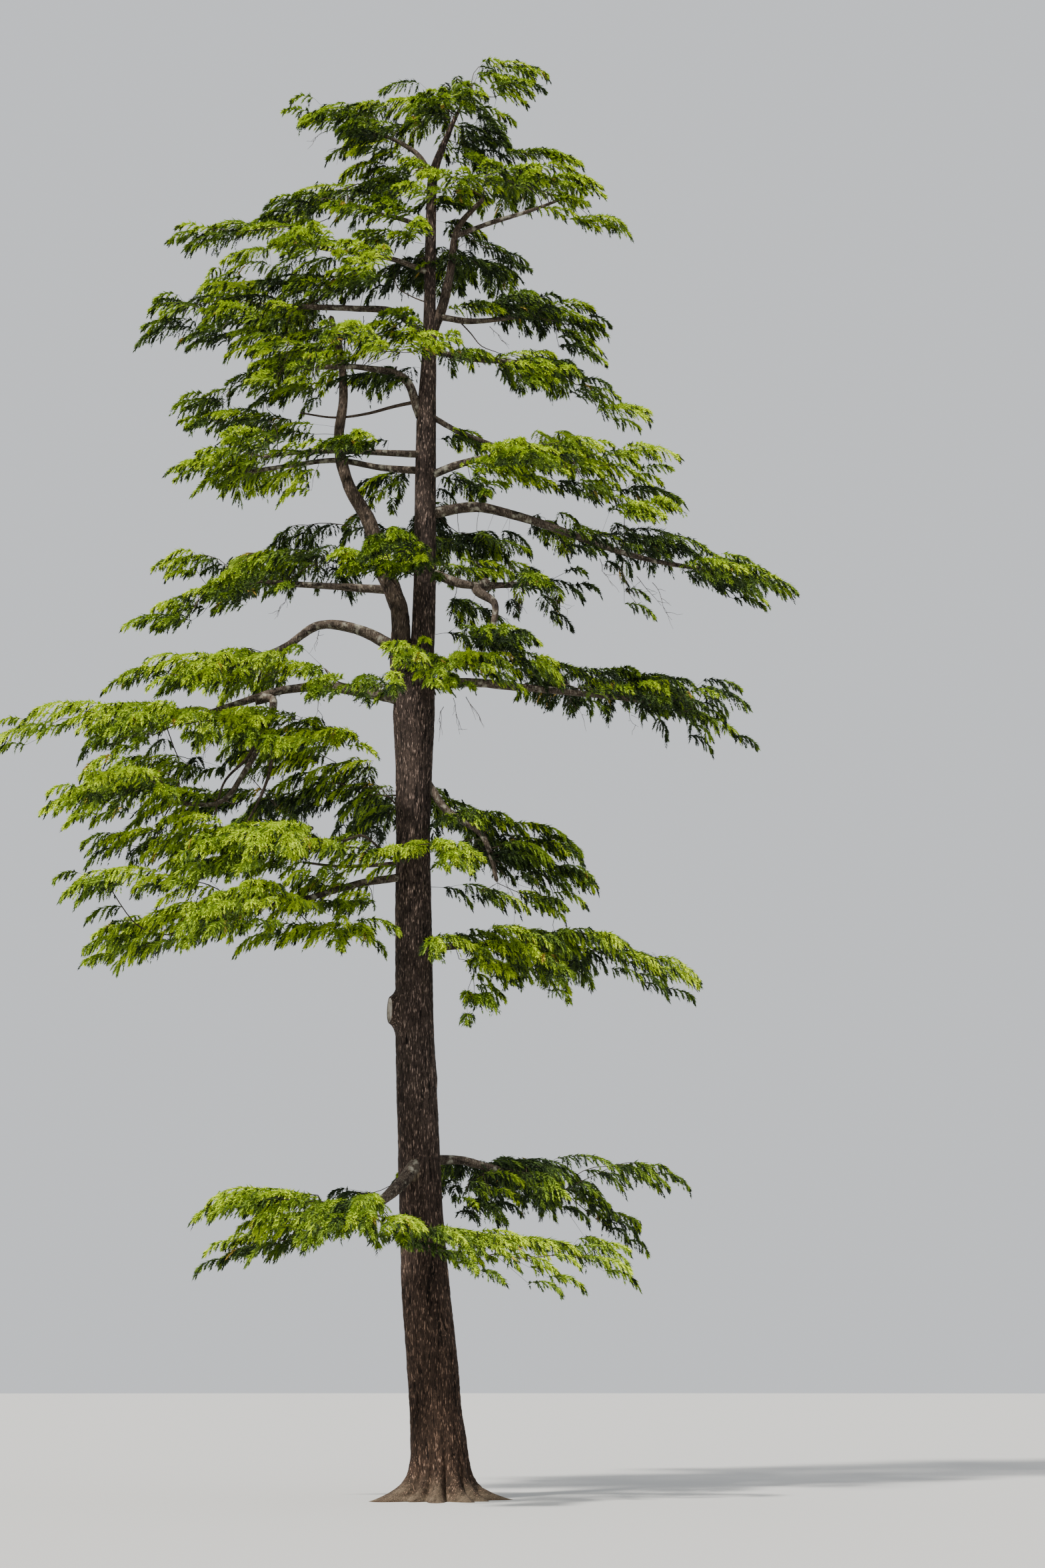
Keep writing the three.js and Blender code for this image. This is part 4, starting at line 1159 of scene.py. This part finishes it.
def pad_twig(foot, heading, length, rise, fall):
    """Two functions of the share along a pad's arched twig: the places there, and the slope."""
    def at(share):
        share = np.atleast_1d(share)[:, None]
        up = rise * share - (rise + fall) * share ** 3
        return foot + length * (heading * share + (0, 0, 1) * up)

    def slope(share):
        return rise - 3 * (rise + fall) * share ** 2
    return at, slope


def pad_shoots(number, foot, heading, length, room, rng):
    """Shoots of one pad, the fringe that hangs from them, and points along its twig."""
    sag = by_height(SAG_BY_HEIGHT, foot[2])
    rim = np.clip(1 - room / RIM_NEAR, 0, 1)
    rise = rng.uniform(*PAD_RISE)
    fall = (rng.uniform(*PAD_FALL) + RIM_FALL * rim * rng.uniform(*RIM_FALL_SHARE)) * sag
    at, slope = pad_twig(foot, heading, length, rise, fall)
    shoots, fringe = [], []
    count = max(SHOOTS_FEWEST, int(length / SHOOT_STEP))
    wide, middle, narrow = SHOOT_OUTLINE
    for i in range(count):
        share = (i + rng.uniform(*SHOOT_PLACE)) / count
        angle = math.radians(np.interp(share, (0, 1), SHOOT_ANGLES) * rng.uniform(*SHOOT_TURN))
        outline = wide + middle * share - narrow * share ** 2
        reach = SHOOT_SHARE * length * outline * rng.uniform(*SHOOT_UNEVENNESS)
        side = turned(heading, angle * (1 if i % 2 else -1), slope(share) * math.cos(angle))
        droop = (rng.uniform(*SHOOT_DROOP) + RIM_DROOP * rim) * sag
        shoots.append((*at(share)[0], *side, max(reach, SHOOT_SHORTEST), droop, number, share))
    for tip in range(TIP_SHOOTS):
        turn = math.radians((tip - (TIP_SHOOTS - 1) / 2) * TIP_FAN + rng.uniform(*TIP_TURN))
        reach = SHOOT_SHARE * length * rng.uniform(*TIP_SHARE)
        ahead = turned(heading, turn, slope(1.0))
        shoots.append((*at(TIP_PLACE)[0], *ahead, reach, TIP_DROOP * sag, number, 1.0))
    for _ in range(int(length / FRINGE_STEP)):
        host = np.array(shoots[rng.integers(len(shoots))])
        place, ahead = host[:3], host[3:6]
        host_reach, _, _, host_share = host[6:]
        start = place + unit(ahead) * host_reach * rng.uniform(*FRINGE_PLACE)
        hanging = turned(ahead, rng.uniform(*FRINGE_TURN), -rng.uniform(*FRINGE_SLOPE))
        reach = rng.uniform(*FRINGE_LENGTH) * min(1, length / FRINGE_FULL_PAD)
        fringe.append((*start, *hanging, reach, FRINGE_DROOP, number, host_share))
    return shoots, fringe, at(np.array(PAD_SHARES))


def shoot_arrays(rows):
    """Feet, unit directions, lengths, droops and pad numbers of shoots, and their places along the pads."""
    table = np.array(rows)
    lengths, droops, numbers, along = table[:, 6:].T
    return table[:, :3], unit(table[:, 3:6]), lengths, droops, numbers.astype(int), along


def grown_pads(feet, headings, lengths, rooms, share, rng):
    """Shoots and fringe of a share of the pads of a mass, with the pads' own twigs."""
    shoots, fringe, twigs = [], [], []
    for number, pad in enumerate(zip(feet, headings, lengths, rooms)):
        if rng.random() <= share:
            some, hanging, line = pad_shoots(number, *pad, rng)
            shoots += some
            fringe += hanging
            twigs.append((line, np.array(PAD_LOADS)))
    return shoot_arrays(shoots), shoot_arrays(fringe), twigs


def shoot_point(shoots, t):
    """Places along the shoots, at shares t with one more axis, and the unit directions there."""
    feet, headings, lengths, droops = shoots[:4]
    down = np.array([0.0, 0.0, -1.0])
    reach = lengths[:, None, None]
    sag = (droops * lengths)[:, None, None]
    t = t[..., None]
    way = headings[:, None, :] * reach
    place = feet[:, None, :] + way * (t - SHOOT_SLOWING * t ** 2) + down * sag * t ** 2
    ahead = way * (1 - 2 * SHOOT_SLOWING * t) + down * sag * 2 * t
    return place, unit(ahead)


def needle_blades(shoots, size, per_shoot, rng):
    """Pointed needles round the shoots: three vertices for each, two across the stem and the tip."""
    needle_length, needle_width = size
    shape = (len(shoots[0]), per_shoot)
    t = (np.arange(per_shoot) + rng.uniform(0, 1, shape)) / per_shoot
    foot, ahead = shoot_point(shoots, t)
    across = unit(np.cross(ahead, (0.0, 0.0, 1.0)))
    over = np.cross(across, ahead)
    side = np.where(np.arange(per_shoot) % 2, 1, -1)
    tilt = (side * np.radians(rng.uniform(*NEEDLE_TILT, shape)))[..., None]
    ring = over * np.cos(tilt) + across * np.sin(tilt)
    half = (across * np.cos(tilt) - over * np.sin(tilt)) * needle_width / 2
    t = t[..., None]
    spread = np.radians(rng.uniform(*NEEDLE_SPREAD, shape))[..., None] * (1 - NEEDLE_CLOSING * t ** 4)
    unevenness = rng.uniform(*NEEDLE_UNEVENNESS, shape)[..., None]
    length = needle_length * (1 - NEEDLE_TAPER * t ** 2) * unevenness
    tip = foot + length * (ahead * np.cos(spread) + ring * np.sin(spread))
    return np.stack([foot - half, foot + half, tip], axis=-2).reshape(-1, 3)


def local_level(places):
    """How high each place is among those above and below it, from 0 to 1."""
    cell = np.floor(places[:, :2] / LEVEL_CELL).astype(int)
    _, index = np.unique(cell, axis=0, return_inverse=True)
    index = index.reshape(-1)
    height = places[:, 2]
    lowest = np.full(index.max() + 1, np.inf)
    highest = -lowest
    np.minimum.at(lowest, index, height)
    np.maximum.at(highest, index, height)
    return (height - lowest[index]) / np.maximum(highest[index] - lowest[index], LEVEL_LEAST)


def spray_tones(places, lower, shoots, tone, offset, rng):
    """The colour of each shoot: brighter in high pads as painted light, darker under others and in a lower
    layer as painted shade, brighter towards their ends, and in patches.
    """
    patch = noise(places / TONE_PATCH + offset, SEED + 5)
    # Painted shade: pads under others and in the lower layer score darker.
    causes = (patch, 1 - local_level(places), rng.random(len(places)), lower)
    score = sum(weight * cause for weight, cause in zip(TONE_WEIGHTS, causes))
    rank = np.argsort(np.argsort(score)) / len(score)
    shares = np.cumsum(TONE_SHARES[tone])
    by_pad = np.searchsorted(shares / shares[-1], rank, side="right")
    pad_of_shoot, along = shoots[4:6]
    brighter = along > rng.uniform(*BRIGHT_END, len(along))
    tones = by_pad[pad_of_shoot] + (along < DARK_FOOT).astype(int) - brighter
    tones = np.clip(tones, 0, OCHRE - 1)
    return np.where(rng.random(len(tones)) < OCHRE_SHARE, OCHRE, tones)


def grown_mass(names, slot, tone, rows, seeds, share, offset, rng):
    """Twigs, shoots and their colours for the pads of one mass."""
    middles, rooms, lower = rows[:, :3], rows[:, 3], rows[:, 4]
    headings = outward(middles, seeds, rng)
    lengths = rng.uniform(*PAD_LENGTH, len(rows))
    lengths = np.maximum(np.minimum(lengths, 2 * rooms + PAD_PAST_ROOM), PAD_SHORTEST)
    half = headings * lengths[:, None] / 2
    ends = middles + half
    past_box = ends - np.clip(ends, np.array(cad_low) - BOX_MARGIN, np.array(cad_high) + BOX_MARGIN)
    feet = middles - half - past_box
    parent, from_seed, order = grow(feet, seeds)
    feet = straightened(feet, parent, order)
    chains = branches(feet, seeds, parent, from_seed, order)
    shoots, fringe, twigs = grown_pads(feet, headings, lengths, rooms, share, rng)
    first, last = FRINGE_TONES[tone]
    return {
        "names": names, "slot": slot, "chains": chains + twigs, "rng": rng,
        "shoots": shoots, "fringe": fringe,
        "tones": spray_tones(middles, lower, shoots, tone, offset, rng),
        "fringe_tones": rng.integers(first, last + 1, len(fringe[0])),
    }


def build_needles(slot, number, batch, per_shoot):
    """The needles of a few masses of one slot, as one piece."""
    vertices, tones = [], []
    for mass in batch:
        vertices.append(needle_blades(mass["shoots"], NEEDLE_SIZE, per_shoot, mass["rng"]))
        vertices.append(needle_blades(mass["fringe"], FRINGE_NEEDLE_SIZE, FRINGE_NEEDLES, mass["rng"]))
        tones.append(np.repeat(mass["tones"], per_shoot))
        tones.append(np.repeat(mass["fringe_tones"], FRINGE_NEEDLES))
    vertices = np.concatenate(vertices)
    faces = np.arange(len(vertices)).reshape(-1, 3)
    piece = add_piece(f"{slot}_{number}", vertices, faces, NEEDLE_MATERIALS, np.concatenate(tones))
    finish_piece(piece, slot, [name for mass in batch for name in mass["names"]])


def batches(masses, per_shoot):
    """Masses in their order, in lists whose needles are few enough for one piece."""
    found, size = [[]], 0
    for mass in masses:
        count = len(mass["tones"]) * per_shoot + len(mass["fringe_tones"]) * FRINGE_NEEDLES
        if found[-1] and size + count > PIECE_NEEDLES:
            found.append([])
            size = 0
        found[-1].append(mass)
        size += count
    return found


def build_twigs(name, lines, sides, step, rng):
    """Thin tubes along lines, joined into one piece."""
    tubes = []
    for middles, radii in lines:
        line, radius, _ = smooth_line(middles, radii, step)
        tubes.append(sweep(line, radius, sides))
    vertices, faces = joined(tubes)
    piece = add_piece(name, vertices, faces, [BARK_TWIG], smooth=True)
    add_attribute(piece, "ridge", rng.uniform(*TWIG_RIDGE, len(vertices)))
    finish_piece(piece, "bark_grey")


def bare_line(points, radius):
    """Middles and radii of a thin bare limb."""
    middles = np.array([as_seen(*point) for point in points])
    return middles, np.linspace(radius, radius * BARE_TAPER, len(points))


def dead_twig(x, y, z, length, heading, rng):
    """Lines of a crooked dead twig with a few side twigs: middles and radii of each."""
    turn = math.radians(heading)
    ahead = np.array([math.cos(turn), rng.uniform(*DEAD_DEPTH), math.sin(turn)])
    steps = np.linspace(0, length, DEAD_POINTS)[:, None]
    main = as_seen(x, y, z) + ahead * steps + rng.normal(0, DEAD_CROOK, (DEAD_POINTS, 3)) * (steps > 0)
    lines = [(main, np.linspace(DEAD_RADIUS, DEAD_RADIUS * DEAD_TAPER, DEAD_POINTS))]
    for start in main[1:-1]:
        side = ahead + rng.normal(0, DEAD_SIDE_TURN, 3)
        reach = length * rng.uniform(*DEAD_SIDE_LENGTH) * np.linspace(0, 1, DEAD_SIDE_POINTS)[:, None]
        crook = rng.normal(0, DEAD_SIDE_CROOK, (DEAD_SIDE_POINTS, 3)) * (reach > 0)
        radii = DEAD_RADIUS * np.linspace(*DEAD_SIDE_GIRTH, DEAD_SIDE_POINTS)
        lines.append((start + side * reach + crook, radii))
    return lines


# Studio.

def build_floor():
    turn = full_turn(FLOOR_SIDES)
    vertices = FLOOR_RADIUS * np.column_stack([np.cos(turn), np.sin(turn), np.zeros(FLOOR_SIDES)])
    material = new_material("floor", FLOOR_COLOUR, FLOOR_ROUGHNESS, FLOOR_SPECULAR)
    floor = add_piece("floor", vertices, np.arange(FLOOR_SIDES)[None], [material])
    floor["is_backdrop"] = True


def build_light():
    world = bpy.data.worlds.new("studio")
    world.use_nodes = True
    background = world.node_tree.nodes["Background"]
    background.inputs["Color"].default_value = SKY_COLOUR
    background.inputs["Strength"].default_value = SKY_STRENGTH
    bpy.context.scene.world = world
    lamp = bpy.data.lights.new("key", "SUN")
    lamp.energy = SUN_STRENGTH
    lamp.angle = math.radians(SUN_WIDTH)
    lamp.color = SUN_COLOUR
    key = bpy.data.objects.new("key", lamp)
    key.rotation_euler = Vector(SUN_HEADING).to_track_quat("-Z", "Y").to_euler()
    bpy.context.scene.collection.objects.link(key)


def build_camera():
    data = bpy.data.cameras.new("camera")
    data.lens = LENS_MM
    data.sensor_width = SENSOR_MM
    data.clip_end = SIGHT_END
    camera = bpy.data.objects.new("camera", data)
    camera.location = (0, -EYE_DISTANCE, EYE_HEIGHT)
    camera.rotation_euler = (math.radians(90 + LOOK_UP), 0, -math.radians(LOOK_RIGHT))
    bpy.context.scene.collection.objects.link(camera)
    bpy.context.scene.camera = camera


# The trunk, the stub, the stems and the boughs.

wood_trees = {name: node_tree(name) for name in WOOD_NODES}
limb_lines = {
    name: limb_line(name, [tree for other, tree in wood_trees.items() if other != name])
    for name in WOOD_NODES if name not in ("trunk", "pruned_stub")
}
trunk_heights, trunk_middles, trunk_outlines = trunk_profile()
build_trunk(trunk_heights, trunk_middles, trunk_outlines)
build_stub(trunk_heights, trunk_middles)
for kind, bark in (("stem", BARK_STEM), ("bough", BARK_BOUGH)):
    names = [name for name in limb_lines if name.startswith(kind)]
    build_limbs(f"bark_{kind}s", [limb_lines[name] for name in names], bark, names)

# Wood that twigs may grow from: points along each limb and the trunk, with their radii.
trunk_radii = np.array([reach.mean() for _, reach in trunk_outlines])
wood_lines = [smooth_line(*line, WOOD_STEP) for line in [*limb_lines.values(), (trunk_middles, trunk_radii)]]
wood_places = np.concatenate([places for places, _, _ in wood_lines])
wood_radii = np.concatenate([radii for _, radii, _ in wood_lines])


def wood_inside(tree, low, high):
    """Points of the wood that pass through a mass."""
    above = wood_places > np.array(low) - WOOD_MARGIN
    near = np.all(above & (wood_places < np.array(high) + WOOD_MARGIN), axis=1)
    return np.array([
        place for place, radius in zip(wood_places[near], wood_radii[near])
        if tree.find_nearest(Vector(place))[3] < radius + WOOD_SKIN
    ])


# The foliage: first the masses, then the sprays on their twigs.

masses = []
for index, name in enumerate(MASS_NODES):
    rng = np.random.default_rng(MASS_SEED + index)
    tree = node_tree(name)
    low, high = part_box(name)
    spacing = PAD_SPACING * SPACING_SHARES.get(name, 1.0)
    pads = clumped(np.concatenate([mass_pads(tree, low, high, spacing, rng), tip_pads(name)]), index)
    pads[:, 2] -= np.interp(pads[:, 0], *zip(*LOWERED.get(name, LEVEL)))
    slot = SLOT_OF[name]
    seeds = wood_inside(tree, low, high)
    tone = MUTED.get(name, slot)
    masses.append(grown_mass([name], slot, tone, pads, seeds, SPARSE.get(name, 1.0), index, rng))

strong_twigs = [chain[loads > SPRAY_WOOD_LOAD] for mass in masses for chain, loads in mass["chains"]]
spray_wood = np.concatenate([wood_places] + strong_twigs)
for index, (*spray, slot) in enumerate(SPRAYS):
    rng = np.random.default_rng(SPRAY_SEED + index)
    pads = spray_pads(*spray, rng)
    near = np.linalg.norm(spray_wood - pads[:, :3].mean(axis=0), axis=1) < SPRAY_REACH
    masses.append(grown_mass([], slot, slot, pads, spray_wood[near], 1.0, index, rng))

fringe_total = sum(len(mass["fringe_tones"]) for mass in masses)
shoot_total = sum(len(mass["tones"]) for mass in masses)
per_shoot = (NEEDLE_BUDGET - fringe_total * FRINGE_NEEDLES) // shoot_total
for slot in (BRIGHT, GREEN, DARK):
    of_slot = [mass for mass in masses if mass["slot"] == slot]
    for number, batch in enumerate(batches(of_slot, per_shoot), 1):
        build_needles(slot, number, batch, per_shoot)

dead_rng = np.random.default_rng(SEED)
dead_lines = [line for twig in DEAD_TWIGS for line in dead_twig(*twig, dead_rng)]
build_twigs("dead_twigs", dead_lines, DEAD_SIDES, DEAD_STEP, dead_rng)
build_twigs("bare_limbs", [bare_line(*limb) for limb in BARE_LIMBS], BARE_SIDES, DEAD_STEP, dead_rng)
twig_lines = [twig_line(*chain) for mass in masses for chain in mass["chains"]]
build_twigs("twigs", twig_lines, TWIG_SIDES, TWIG_STEP, np.random.default_rng(SEED))

build_floor()
build_light()
build_camera()

low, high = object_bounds()
